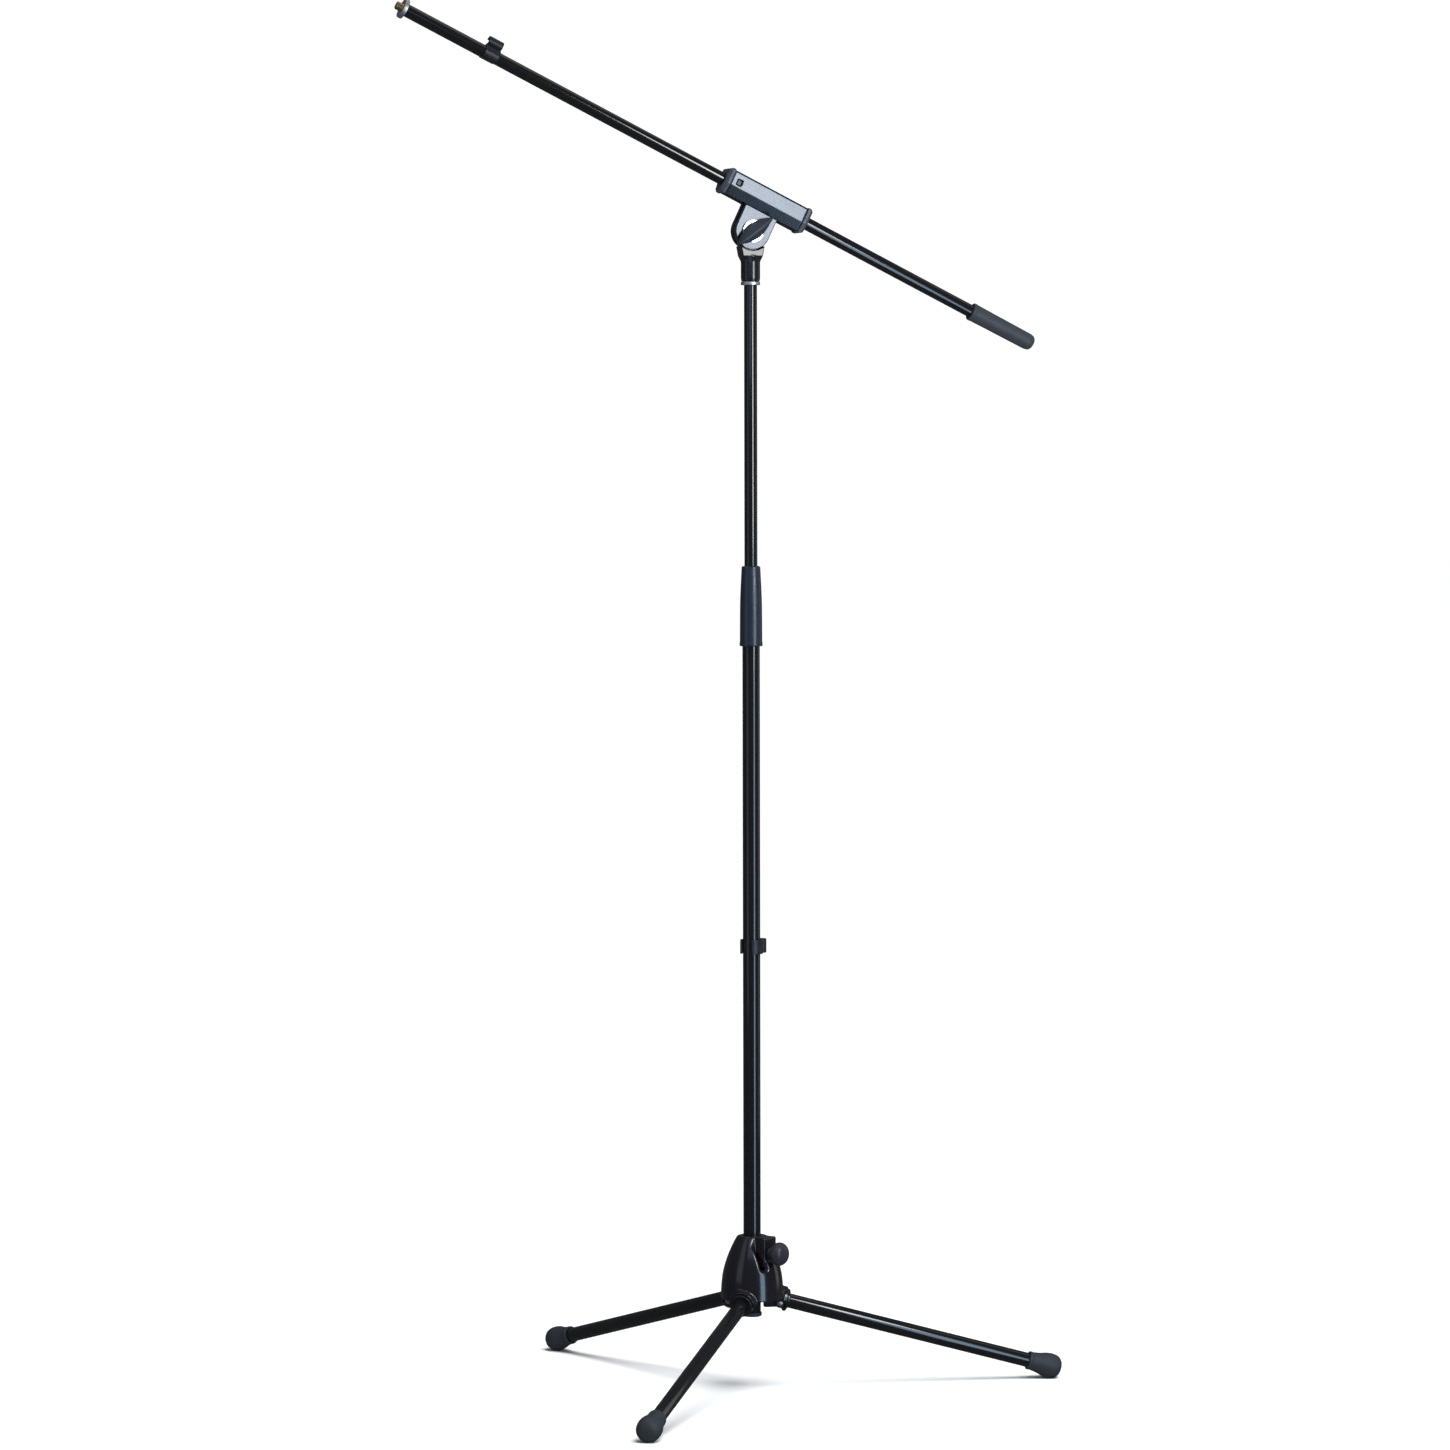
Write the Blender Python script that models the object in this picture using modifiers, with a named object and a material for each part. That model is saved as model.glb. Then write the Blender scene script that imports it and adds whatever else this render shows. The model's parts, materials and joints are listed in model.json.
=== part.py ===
"""Boom microphone stand: folding tripod base, two-part column and a boom held in a tilting clamp.

Metres, +Z up. The stand's feet are at Z = 0. Each sub-part is one object, and each moving group
hangs under an empty that lies on its joint's axis.
"""

import math

import bmesh
import bpy
from mathutils import Euler, Matrix, Vector

# ---------------------------------------------------------------- driving dimensions, in metres

COLUMN_X = 0.0166                 # where the column stands, so that the origin is
COLUMN_Y = 0.0331                 # under the middle of the whole stand
GAP = 0.0003                      # clearance between neighbouring pieces

# Steel tubes
LOWER_TUBE_RADIUS = 0.0095
LOWER_TUBE_BORE = 0.0083
EXTENSION_RADIUS = 0.0071
EXTENSION_BORE = 0.0061
BOOM_RADIUS = 0.0070
BOOM_BORE = 0.0060
LEG_RADIUS = 0.0080
LEG_BORE = 0.0070

# Heights on the column
END_PLUG_BOTTOM = 0.0800
LOWER_TUBE_BOTTOM = 0.0848
LOWER_TUBE_TOP = 0.8580
TWIST_GRIP_BOTTOM = 0.8153
TWIST_GRIP_TOP = 0.9025
EXTENSION_BOTTOM = 0.4300
EXTENSION_TOP = 1.2072
COLUMN_CLIP_BOTTOM = 0.4790
COLUMN_CLIP_HEIGHT = 0.0155
COLUMN_CLIP_TURN = math.radians(-40)
END_PLUG_TOP = 0.1000
END_PLUG_RADIUS = 0.0108
GUIDE_BUSH_REACH = 0.0150          # up the extension tube, and down below it
GUIDE_BUSH_BORE = 0.0045

# Clutch at the top of the lower tube
CLUTCH_THREAD_RADIUS = 0.0095
CLUTCH_BODY_BOTTOM = 0.8380
CLUTCH_BODY_TOP = 0.8840
CLUTCH_CONE_DEPTH = 0.0040
COLLET_BOTTOM = 0.8845
COLLET_TOP = 0.8936
COLLET_RADIUS = 0.0094
COLLET_SPLIT = 0.0016
TWIST_GRIP_BORE = 0.0099
TWIST_GRIP_SEAT = 0.8940

# Cable clips
CLIP_OPENING = (-50, 230)          # where the ring starts and ends, in degrees
HOOK_OPENING = (-115, 165)
HOOK_OUTER = 0.0055
HOOK_INNER = 0.0033
COLUMN_CLIP_WALL = 0.0028
COLUMN_HOOK_RISE = 0.0167          # hook's centre from the tube's axis
BOOM_CLIP_WALL = 0.0016
BOOM_HOOK_RISE = 0.0129

# Thread inserts
INSERT_DEPTH = 0.0180
INSERT_EDGE = 0.0005
COLUMN_INSERT_RADIUS = 0.0105
COLUMN_INSERT_FACE = EXTENSION_TOP + 0.0040
COLUMN_STUD_END = EXTENSION_TOP + 0.0170
BOOM_INSERT_RADIUS = 0.0110
STUD_CHAMFER = 0.0006

# Base casting: outer profile as (radius, height), top to bottom
BELL_OUTSIDE = (
    (0.0150, 0.1695),
    (0.0165, 0.1688),
    (0.0200, 0.1624),
    (0.0245, 0.1528),
    (0.0293, 0.1400),
    (0.0325, 0.1270),
    (0.0340, 0.1130),
    (0.0345, 0.1000),
)
BELL_INSIDE = (
    (0.0308, 0.1000),
    (0.0300, 0.1120),
    (0.0280, 0.1270),
    (0.0235, 0.1400),
    (0.0175, 0.1490),
    (0.0140, 0.1510),
)
BELL_TOP = BELL_OUTSIDE[0][1]
HUB_RADIUS = 0.0140
HUB_BOTTOM = 0.0970
HUB_CLEAR = 0.01                   # how far a cutter runs past what it cuts
COLUMN_HOLE_RADIUS = 0.0098

# Legs: the frame of each leg has X along the tube towards the foot, Z up, and its origin on the pivot
LEG_AZIMUTHS = {"left": -138.6, "front": -18.6, "right": 101.4}
LEG_SLOPE = math.radians(15.57)
LEG_PIVOT_RADIUS = 0.0300
LEG_PIVOT_HEIGHT = 0.0950
LEG_AXIS_RISE = 0.0037
LUG_HALF_WIDTH = 0.0040
LUG_ROUND = 0.0053
EAR_THICKNESS = 0.0027
EAR_ROUND = 0.0062
FLANGE_START = 0.0057
FLANGE_THICKNESS = 0.0028
FLANGE_RADIUS = 0.0125
PLUG_END = 0.0300
HOOD_RADIUS = 0.0145
HOOD_START = -0.0080
SLOT_LOW = (-0.0125, -0.0110, -0.0300)
SLOT_HIGH = (0.0200, 0.0110, 0.0085)
LUG_ROOT = -0.0170
LUG_TOP = 0.0170
LEG_TUBE_END = 0.3210
FOOT_START = 0.2910
FOOT_END = 0.3300
BOLT_RADIUS = 0.0025
BOLT_HOLE_RADIUS = 0.0028
BOLT_HEAD_RADIUS = 0.0042
BOLT_HEAD_HEIGHT = 0.0028
LEG_NUT_RADIUS = 0.0044
LEG_NUT_HEIGHT = 0.0032

# Clamp in the base: X of its frame points outwards from the column
CLAMP_AZIMUTH = 52.0
CLAMP_HEIGHT = 0.1517
BOSS_FACE = 0.0254
BOSS_ROOT = 0.0118
BOSS_HALF_WIDTH = 0.0107
BOSS_BOTTOM = -0.0150
BOSS_BEVEL = 0.0015
GROOVE_ROOT = 0.0135
GROOVE_WIDTH = 0.0043
GROOVE_BOTTOM = -0.0170
LANDING_RADIUS = 0.0098
PAD_LENGTH = 0.0045
CLAMP_SCREW_END = 0.0400
CLAMP_HOLE_RADIUS = 0.0042
CLAMP_SCREW_RADIUS = 0.0039

# Boom joint: X of its frame points to the microphone end, Y to the wing screw, Z across the boom
PIVOT_HEIGHT = 1.2658
BOOM_YAW = math.radians(20.5)
BOOM_TILT = math.radians(25.9)
BOOM_RISE = 0.0365
CHEEK_ROUND = 0.0200
CHEEK_DEPTH = 0.0085
TONGUE_DEPTH = 0.0028
TONGUE_ROUND = 0.0190
CRADLE_ROUND = 0.0210
SCREW_HOLE_RADIUS = 0.0033
SCREW_RADIUS = 0.0030
SCREW_START = -0.0150
CLAMP_NUT_RADIUS = 0.0058
CLAMP_NUT_HEIGHT = 0.0050
WASHER_RADIUS = 0.0125
WASHER_THICKNESS = 0.0018
HUB_HEIGHT = 0.0060
WING_FOOT = 0.0030                 # from the hub's base to the leaf's foot and to its crest
WING_CREST = 0.0150
WING_HALF_LENGTH = 0.0248
WING_TURN = math.radians(62.1)
WING_CREST_SHARE = 0.30            # width of the crest, as a share of the leaf's width
WING_TIP_DROP = 0.0045
WING_SCREW_END = 0.0100            # from the hub's base
NECK_RADIUS = 0.0107
NECK_TOP = -0.0262
NECK_SHOULDER = -0.0330
NECK_LIP = 0.0032
NECK_THREAD_DEPTH = 0.0165
KNUCKLE_TOP = (0.0146, -0.0130)    # half width and height
KNUCKLE_BOTTOM = (0.0112, -0.0290)
TONGUE_FOOT = (0.0085, -0.0250)
SLEEVE_START = -0.0455
SLEEVE_END = 0.0466
SLEEVE_BORE = 0.0095
LINER_RADIUS = 0.0092
LINER_BORE = 0.0073
LINER_LENGTH = 0.0200
CAP_LENGTH = 0.0070
CAP_OVERHANG = 0.0009
WINDOW_INSET = 0.0088
WINDOW_WIDTH = 0.0060
WINDOW_HEIGHT = 0.0065
WINDOW_RISE = 0.0027

# Along the boom, from the joint
BOOM_TUBE_TIP = 0.4507
BOOM_TUBE_TAIL = -0.3450
BOOM_INSERT_FACE = 0.4555
BOOM_STUD_END = 0.4622
BOOM_CLIP_START = 0.3380
BOOM_CLIP_LENGTH = 0.0170
BOOM_GRIP_START = -0.2701
BOOM_GRIP_END = -0.3525

THREAD_RADIUS = 0.00476           # 3/8 inch thread
THREAD_HOLE_RADIUS = 0.0051

ROUND = 20                        # sides of a round piece
ROUND_SMALL = 16
ROUND_LARGE = 28

# Finishes: base colour, metallic, roughness
BLACK_ENAMEL = ((0.012, 0.012, 0.013), 0.0, 0.18)
CAST_ENAMEL = ((0.014, 0.014, 0.016), 0.0, 0.25)
SATIN_METAL = ((0.09, 0.10, 0.12), 0.6, 0.38)
ZINC = ((0.62, 0.62, 0.60), 1.0, 0.28)
BRASS = ((0.62, 0.46, 0.20), 1.0, 0.30)
BRIGHT_STEEL = ((0.72, 0.72, 0.72), 1.0, 0.15)
MATTE_PLASTIC = ((0.030, 0.033, 0.038), 0.0, 0.50)
RUBBER = ((0.020, 0.021, 0.023), 0.0, 0.75)

STRAIGHT = Matrix.Identity(4)                                            # length along Z
ALONG_X = Euler((math.pi / 2, 0, math.pi / 2)).to_matrix().to_4x4()      # length along X
ALONG_Y = Euler((-math.pi / 2, 0, 0)).to_matrix().to_4x4()               # length along Y
FLAT_XZ = Euler((math.pi / 2, 0, 0)).to_matrix().to_4x4()                # outline in X and Z


# ---------------------------------------------------------------- scene and helpers

def clear_scene():
    for obj in list(bpy.data.objects):
        bpy.data.objects.remove(obj)


def new_collection(name):
    collection = bpy.data.collections.new(name)
    bpy.context.scene.collection.children.link(collection)
    return collection


clear_scene()
PARTS = new_collection("boom_microphone_stand")
CUTTERS = new_collection("cutters")


def new_empty(name, parent=None, location=(0, 0, 0), rotation=(0, 0, 0)):
    empty = bpy.data.objects.new(name, None)
    empty.empty_display_size = 0.02
    empty.parent = parent
    empty.location = location
    empty.rotation_euler = rotation
    PARTS.objects.link(empty)
    return empty


def new_object(name, mesh, parent, finish):
    """A named sub-part with a material of its own, or a cutter when it has no finish."""
    obj = bpy.data.objects.new(name, mesh)
    obj.parent = parent
    if finish is None:
        obj.hide_render = True
        obj.display_type = "WIRE"
        CUTTERS.objects.link(obj)
        return obj
    colour, metallic, roughness = finish
    material = bpy.data.materials.new(name + "_finish")
    material.use_nodes = True
    shader = material.node_tree.nodes["Principled BSDF"]
    shader.inputs["Base Color"].default_value = (*colour, 1.0)
    shader.inputs["Metallic"].default_value = metallic
    shader.inputs["Roughness"].default_value = roughness
    mesh.materials.append(material)
    mesh.shade_smooth()
    mesh.set_sharp_from_angle(angle=math.radians(35))
    PARTS.objects.link(obj)
    return obj


def turned(name, profile, parent, finish, turn=STRAIGHT, ring=True, sides=ROUND):
    """Turns a profile of (radius, height) about the length; it runs down the outside first."""
    mesh = bpy.data.meshes.new(name)
    points = [(radius, 0, height) for radius, height in profile]
    edges = [(i, i + 1) for i in range(len(points) - 1)]
    if ring:
        edges.append((len(points) - 1, 0))
    mesh.from_pydata(points, edges, [])
    obj = new_object(name, mesh, parent, finish)
    obj.matrix_basis = turn
    screw = obj.modifiers.new("Turn", "SCREW")
    screw.steps = sides
    screw.render_steps = sides
    screw.use_merge_vertices = True
    screw.merge_threshold = 0.00001
    screw.use_smooth_shade = True
    return obj


def tube(name, outer, inner, start, stop, parent, finish, turn=STRAIGHT, sides=ROUND):
    profile = ((outer, stop), (outer, start), (inner, start), (inner, stop))
    return turned(name, profile, parent, finish, turn, sides=sides)


def rod(name, radius, start, stop, parent, finish=None, turn=STRAIGHT, sides=ROUND):
    """A closed cylinder, or a prism when it has few sides."""
    mesh = bpy.data.meshes.new(name)
    shape = bmesh.new()
    middle = Matrix.Translation((0, 0, (start + stop) / 2))
    bmesh.ops.create_cone(
        shape, cap_ends=True, segments=sides, radius1=radius, radius2=radius,
        depth=stop - start, matrix=turn @ middle,
    )
    shape.to_mesh(mesh)
    shape.free()
    return new_object(name, mesh, parent, finish)


def box(name, low, high, parent, finish=None):
    mesh = bpy.data.meshes.new(name)
    size = Vector(high) - Vector(low)
    middle = (Vector(high) + Vector(low)) / 2
    shape = bmesh.new()
    bmesh.ops.create_cube(shape, size=1.0, matrix=Matrix.Translation(middle) @ Matrix.Diagonal((*size, 1)))
    shape.to_mesh(mesh)
    shape.free()
    return new_object(name, mesh, parent, finish)


def extruded(name, outline, start, stop, parent, finish=None, turn=STRAIGHT):
    """A flat outline given thickness from start to stop along its own normal."""
    curve = bpy.data.curves.new(name + "_outline", "CURVE")
    curve.dimensions = "2D"
    curve.fill_mode = "BOTH"
    curve.extrude = (stop - start) / 2
    spline = curve.splines.new("POLY")
    spline.points.add(len(outline) - 1)
    for point, (x, y) in zip(spline.points, outline):
        point.co = (x, y, 0, 1)
    spline.use_cyclic_u = True
    sheet = bpy.data.objects.new(name + "_outline", curve)
    CUTTERS.objects.link(sheet)
    evaluated = sheet.evaluated_get(bpy.context.evaluated_depsgraph_get())
    mesh = bpy.data.meshes.new_from_object(evaluated)
    bpy.data.objects.remove(sheet)
    shape = bmesh.new()
    shape.from_mesh(mesh)
    bmesh.ops.remove_doubles(shape, verts=shape.verts, dist=0.000001)
    bmesh.ops.recalc_face_normals(shape, faces=shape.faces)
    middle = Matrix.Translation((0, 0, (start + stop) / 2))
    bmesh.ops.transform(shape, matrix=turn @ middle, verts=shape.verts)
    shape.to_mesh(mesh)
    shape.free()
    return new_object(name, mesh, parent, finish)


def combine(target, tool, operation):
    modifier = target.modifiers.new(tool.name, "BOOLEAN")
    modifier.operation = operation
    modifier.object = tool
    return target


def cut(target, *tools):
    for tool in tools:
        combine(target, tool, "DIFFERENCE")


def join(target, *tools):
    for tool in tools:
        combine(target, tool, "UNION")


def arc(radius, first, last, steps, centre=(0, 0)):
    """Points on a circle, from one angle to the other, in degrees."""
    points = []
    for step in range(steps + 1):
        angle = math.radians(first + (last - first) * step / steps)
        points.append((centre[0] + radius * math.cos(angle), centre[1] + radius * math.sin(angle)))
    return points


def azimuth_turn(azimuth):
    """Turn about Z that points X away from the column at an azimuth counted from the front."""
    return math.radians(azimuth - 90)


# ---------------------------------------------------------------- base

def base_casting(stand, leg_frames, clamp_frame):
    """Bell with a hub for the column, a hood and a lug over each leg, and the boss of the clamp."""
    hub = (
        (HUB_RADIUS, HUB_BOTTOM),
        (COLUMN_HOLE_RADIUS, HUB_BOTTOM),
        (COLUMN_HOLE_RADIUS, BELL_TOP),
    )
    casting = turned("base_casting", BELL_OUTSIDE + BELL_INSIDE + hub, stand, CAST_ENAMEL, sides=ROUND_LARGE)
    for side, frame in leg_frames.items():
        add_leg_hood(casting, side, frame)
    hub_hole = rod("hub_hole", COLUMN_HOLE_RADIUS, HUB_BOTTOM - HUB_CLEAR, BELL_TOP + HUB_CLEAR, stand,
                   sides=ROUND_LARGE)
    cut(casting, hub_hole)
    for side, frame in leg_frames.items():
        add_leg_lug(casting, side, frame)
    add_clamp_boss(casting, clamp_frame)
    return casting


def add_leg_hood(casting, side, frame):
    """An arch over the leg's root, whose end face stops the leg, and the slot that the leg folds in."""
    hood = rod(f"hood_{side}", HOOD_RADIUS, HOOD_START, FLANGE_START - GAP, frame, turn=ALONG_X,
               sides=ROUND_LARGE)
    for vertex in hood.data.vertices:
        vertex.co.z += LEG_AXIS_RISE
    below = box(f"hood_{side}_below", (-0.03, -0.02, -0.03), (0.03, 0.02, 0.001), frame)
    cut(hood, below)
    join(casting, hood)
    slot = box(f"slot_{side}", SLOT_LOW, SLOT_HIGH, frame)
    cut(casting, slot)


def add_leg_lug(casting, side, frame):
    """The plate that the two ears of the leg bracket close over."""
    corners = [(LUG_ROOT, LUG_TOP), (LUG_ROOT, -LUG_ROUND), (0, -LUG_ROUND)]
    corners += arc(LUG_ROUND, -80, 0, 6)
    corners += [(0.0030, 0.012), (0.0010, LUG_TOP)]
    lug = extruded(f"lug_{side}", corners, -LUG_HALF_WIDTH, LUG_HALF_WIDTH, frame,
                   turn=Matrix.Rotation(-LEG_SLOPE, 4, "Y") @ FLAT_XZ)
    hole = rod(f"lug_hole_{side}", BOLT_HOLE_RADIUS, -0.02, 0.02, frame, turn=ALONG_Y, sides=ROUND_SMALL)
    join(casting, lug)
    cut(casting, hole)


def add_clamp_boss(casting, frame):
    """A square boss for the clamp screw, with a groove between it and the bell."""
    top = BELL_TOP - CLAMP_HEIGHT - GAP
    boss = box("boss", (BOSS_ROOT, -BOSS_HALF_WIDTH, BOSS_BOTTOM), (BOSS_FACE, BOSS_HALF_WIDTH, top), frame)
    bevel = boss.modifiers.new("Edges", "BEVEL")
    bevel.width = BOSS_BEVEL
    bevel.segments = 2
    groove_edge = -BOSS_HALF_WIDTH - GAP
    groove = box("groove", (GROOVE_ROOT, groove_edge - GROOVE_WIDTH, GROOVE_BOTTOM),
                 (0.04, groove_edge, 0.03), frame)
    landing = rod("clamp_landing", LANDING_RADIUS, BOSS_FACE, 0.05, frame, turn=ALONG_X)
    hole = rod("clamp_hole", CLAMP_HOLE_RADIUS, 0.006, 0.04, frame, turn=ALONG_X, sides=ROUND_SMALL)
    join(casting, boss)
    cut(casting, groove, landing, hole)


def base_clamp(frame):
    """Pressure pad, screw and knob that hold the column in the base."""
    start = LOWER_TUBE_RADIUS + GAP
    rod("base_pad", CLAMP_SCREW_RADIUS, start, start + PAD_LENGTH, frame, BRASS, ALONG_X, ROUND_SMALL)
    screw_start = start + PAD_LENGTH + GAP
    rod("base_screw", CLAMP_SCREW_RADIUS, screw_start, CLAMP_SCREW_END, frame, BRIGHT_STEEL,
        ALONG_X, ROUND_SMALL)
    knob = turned("base_knob", (
        (0.0000, 0.0462),
        (0.0060, 0.0456),
        (0.0100, 0.0436),
        (0.0124, 0.0402),
        (0.0128, 0.0370),
        (0.0120, 0.0338),
        (0.0090, 0.0322),
        (0.0068, 0.0314),
        (0.0066, BOSS_FACE + GAP),
        (0.0000, BOSS_FACE + GAP),
    ), frame, MATTE_PLASTIC, turn=ALONG_X, ring=False)
    hole_end = CLAMP_SCREW_END + GAP
    hole = rod("knob_hole", CLAMP_SCREW_RADIUS + GAP, 0.02, hole_end, frame, turn=ALONG_X, sides=ROUND_SMALL)
    cut(knob, hole)


# ---------------------------------------------------------------- legs

def leg(side, frame, stand):
    leg_bracket(side, frame)
    centre = new_empty(f"leg_centre_{side}", frame, (0, 0, LEG_AXIS_RISE))
    tube_start = FLANGE_START + FLANGE_THICKNESS + GAP
    tube(f"leg_tube_{side}", LEG_RADIUS, LEG_BORE, tube_start, LEG_TUBE_END, centre, BLACK_ENAMEL, ALONG_X)
    leg_foot(side, centre, stand)
    leg_bolt(side, frame)


def leg_bracket(side, frame):
    """Plug and flange at the tube's root with two ears that close over the lug."""
    flange_end = FLANGE_START + FLANGE_THICKNESS
    bracket = rod(f"leg_bracket_{side}", FLANGE_RADIUS, FLANGE_START, flange_end, frame, CAST_ENAMEL, ALONG_X)
    plug = rod(f"plug_{side}", LEG_BORE - GAP, FLANGE_START + 0.001, PLUG_END, frame, turn=ALONG_X)
    for piece in (bracket, plug):
        for vertex in piece.data.vertices:
            vertex.co.z += LEG_AXIS_RISE
    root = FLANGE_START + 0.001
    outline = arc(EAR_ROUND, 90, 270, 10) + [(root, -EAR_ROUND), (root, EAR_ROUND)]
    near = LUG_HALF_WIDTH + GAP
    ears = extruded(f"ears_{side}", outline, -near - EAR_THICKNESS, near + EAR_THICKNESS, frame, turn=FLAT_XZ)
    gap = box(f"ear_gap_{side}", (-0.02, -near, -0.02), (FLANGE_START, near, 0.02), frame)
    hole = rod(f"ear_hole_{side}", BOLT_HOLE_RADIUS, -0.02, 0.02, frame, turn=ALONG_Y, sides=ROUND_SMALL)
    join(bracket, plug, ears)
    cut(bracket, gap, hole)


def leg_bolt(side, frame):
    """Pivot bolt with its nut; the head is on the side of the ear nearest to the front."""
    outside = LUG_HALF_WIDTH + GAP + EAR_THICKNESS + GAP
    nut_end = outside + LEG_NUT_HEIGHT
    bolt = rod(f"leg_bolt_{side}", BOLT_RADIUS, -outside - 0.001, nut_end + 0.0006, frame, BRIGHT_STEEL,
               ALONG_Y, ROUND_SMALL)
    head = rod(f"bolt_head_{side}", BOLT_HEAD_RADIUS, -outside - BOLT_HEAD_HEIGHT, -outside, frame,
               turn=ALONG_Y, sides=ROUND_SMALL)
    join(bolt, head)
    nut = rod(f"leg_nut_{side}", LEG_NUT_RADIUS, outside, nut_end, frame, BRIGHT_STEEL, ALONG_Y, 6)
    cut(nut, rod(f"nut_hole_{side}", BOLT_HOLE_RADIUS, 0, 0.02, frame, turn=ALONG_Y, sides=ROUND_SMALL))


def leg_foot(side, centre, stand):
    """Rubber tip: a neck on the tube and a round bulb, flat where it stands on the floor."""
    tip = LEG_TUBE_END + GAP
    foot = turned(f"leg_foot_{side}", (
        (0.0000, FOOT_END),
        (0.0070, FOOT_END - 0.0008),
        (0.0108, FOOT_END - 0.0035),
        (0.0132, FOOT_END - 0.0085),
        (0.0137, FOOT_END - 0.0140),
        (0.0130, FOOT_END - 0.0205),
        (0.0108, FOOT_END - 0.0290),
        (0.0101, FOOT_START + 0.0010),
        (0.0095, FOOT_START),
        (LEG_RADIUS + GAP, FOOT_START),
        (LEG_RADIUS + GAP, tip),
        (0.0000, tip),
    ), centre, RUBBER, turn=ALONG_X, ring=False)
    cut(foot, box(f"floor_{side}", (-0.5, -0.5, -0.05), (0.5, 0.5, 0.0), stand))


# ---------------------------------------------------------------- column

def lower_column(stand):
    tube("lower_tube", LOWER_TUBE_RADIUS, LOWER_TUBE_BORE, LOWER_TUBE_BOTTOM, LOWER_TUBE_TOP, stand,
         BLACK_ENAMEL)
    turned("column_end_plug", (
        (0.0000, END_PLUG_TOP),
        (LOWER_TUBE_BORE - GAP, END_PLUG_TOP),
        (LOWER_TUBE_BORE - GAP, LOWER_TUBE_BOTTOM - GAP),
        (END_PLUG_RADIUS, LOWER_TUBE_BOTTOM - GAP),
        (END_PLUG_RADIUS, END_PLUG_BOTTOM + 0.0012),
        (0.0095, END_PLUG_BOTTOM),
        (0.0000, END_PLUG_BOTTOM),
    ), stand, MATTE_PLASTIC, ring=False)
    bore = EXTENSION_RADIUS + GAP
    turned("clutch_body", (
        (CLUTCH_THREAD_RADIUS, CLUTCH_BODY_TOP),
        (CLUTCH_THREAD_RADIUS, LOWER_TUBE_TOP + GAP),
        (LOWER_TUBE_BORE - GAP, LOWER_TUBE_TOP + GAP),
        (LOWER_TUBE_BORE - GAP, CLUTCH_BODY_BOTTOM),
        (bore, CLUTCH_BODY_BOTTOM),
        (bore, CLUTCH_BODY_TOP - CLUTCH_CONE_DEPTH),
        (0.0085, CLUTCH_BODY_TOP),
    ), stand, BRASS)


def clutch(stand):
    """Split collet that grips the extension tube, and the twist grip that presses on it."""
    collet = turned("clutch_collet", (
        (COLLET_RADIUS, COLLET_TOP),
        (COLLET_RADIUS, COLLET_BOTTOM + 0.0023),
        (0.0086, COLLET_BOTTOM),
        (EXTENSION_RADIUS + GAP, COLLET_BOTTOM),
        (EXTENSION_RADIUS + GAP, COLLET_TOP),
    ), stand, MATTE_PLASTIC)
    cut(collet, box("collet_split", (0.0, -COLLET_SPLIT / 2, COLLET_BOTTOM - 0.01),
                    (0.02, COLLET_SPLIT / 2, COLLET_TOP + 0.01), stand))
    turned("twist_grip", (
        (0.0092, TWIST_GRIP_TOP),
        (0.0101, TWIST_GRIP_TOP - 0.0012),
        (0.0106, TWIST_GRIP_TOP - 0.0110),
        (0.0115, TWIST_GRIP_TOP - 0.0280),
        (0.0120, TWIST_GRIP_TOP - 0.0450),
        (0.0122, TWIST_GRIP_BOTTOM + 0.0080),
        (0.0126, TWIST_GRIP_BOTTOM + 0.0030),
        (0.0126, TWIST_GRIP_BOTTOM + 0.0010),
        (0.0119, TWIST_GRIP_BOTTOM),
        (TWIST_GRIP_BORE, TWIST_GRIP_BOTTOM),
        (TWIST_GRIP_BORE, TWIST_GRIP_SEAT),
        (EXTENSION_RADIUS + 2 * GAP, TWIST_GRIP_SEAT),
        (EXTENSION_RADIUS + 2 * GAP, TWIST_GRIP_TOP),
    ), stand, MATTE_PLASTIC)


def clip(name, tube_radius, wall, hook_rise, start, stop, frame, turn):
    """Spring clip: an open ring round the tube with a smaller open ring for the cable."""
    inner = tube_radius + GAP
    outer = inner + wall
    first, last = CLIP_OPENING
    ring_outline = arc(outer, first, last, 22) + arc(inner, last, first, 22)
    piece = extruded(name, ring_outline, start, stop, frame, MATTE_PLASTIC, turn)
    first, last = HOOK_OPENING
    centre = (0, hook_rise)
    hook_outline = arc(HOOK_OUTER, first, last, 16, centre) + arc(HOOK_INNER, last, first, 16, centre)
    join(piece, extruded(name + "_hook", hook_outline, start, stop, frame, turn=turn))
    return piece


def column_clip(stand):
    frame = new_empty("column_clip_turn", stand, (0, 0, 0), (0, 0, COLUMN_CLIP_TURN))
    clip("column_clip", LOWER_TUBE_RADIUS, COLUMN_CLIP_WALL, COLUMN_HOOK_RISE, COLUMN_CLIP_BOTTOM,
         COLUMN_CLIP_BOTTOM + COLUMN_CLIP_HEIGHT, frame, STRAIGHT)


def thread_insert(prefix, plug_radius, flange_radius, flange_start, flange_end, stud_end, frame, turn):
    """Flanged plug in a tube's end with a threaded stud through it."""
    hole = THREAD_RADIUS + GAP
    turned(f"{prefix}_insert", (
        (flange_radius - INSERT_EDGE, flange_end),
        (flange_radius, flange_end - INSERT_EDGE),
        (flange_radius, flange_start + INSERT_EDGE),
        (flange_radius - INSERT_EDGE, flange_start),
        (plug_radius, flange_start),
        (plug_radius, flange_start - INSERT_DEPTH),
        (hole, flange_start - INSERT_DEPTH),
        (hole, flange_end),
    ), frame, ZINC, turn=turn)
    turned(f"{prefix}_stud", (
        (0.0000, stud_end),
        (THREAD_RADIUS - STUD_CHAMFER, stud_end),
        (THREAD_RADIUS, stud_end - STUD_CHAMFER),
        (THREAD_RADIUS, flange_start - INSERT_DEPTH),
        (0.0000, flange_start - INSERT_DEPTH),
    ), frame, BRASS, turn=turn, ring=False)


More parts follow.
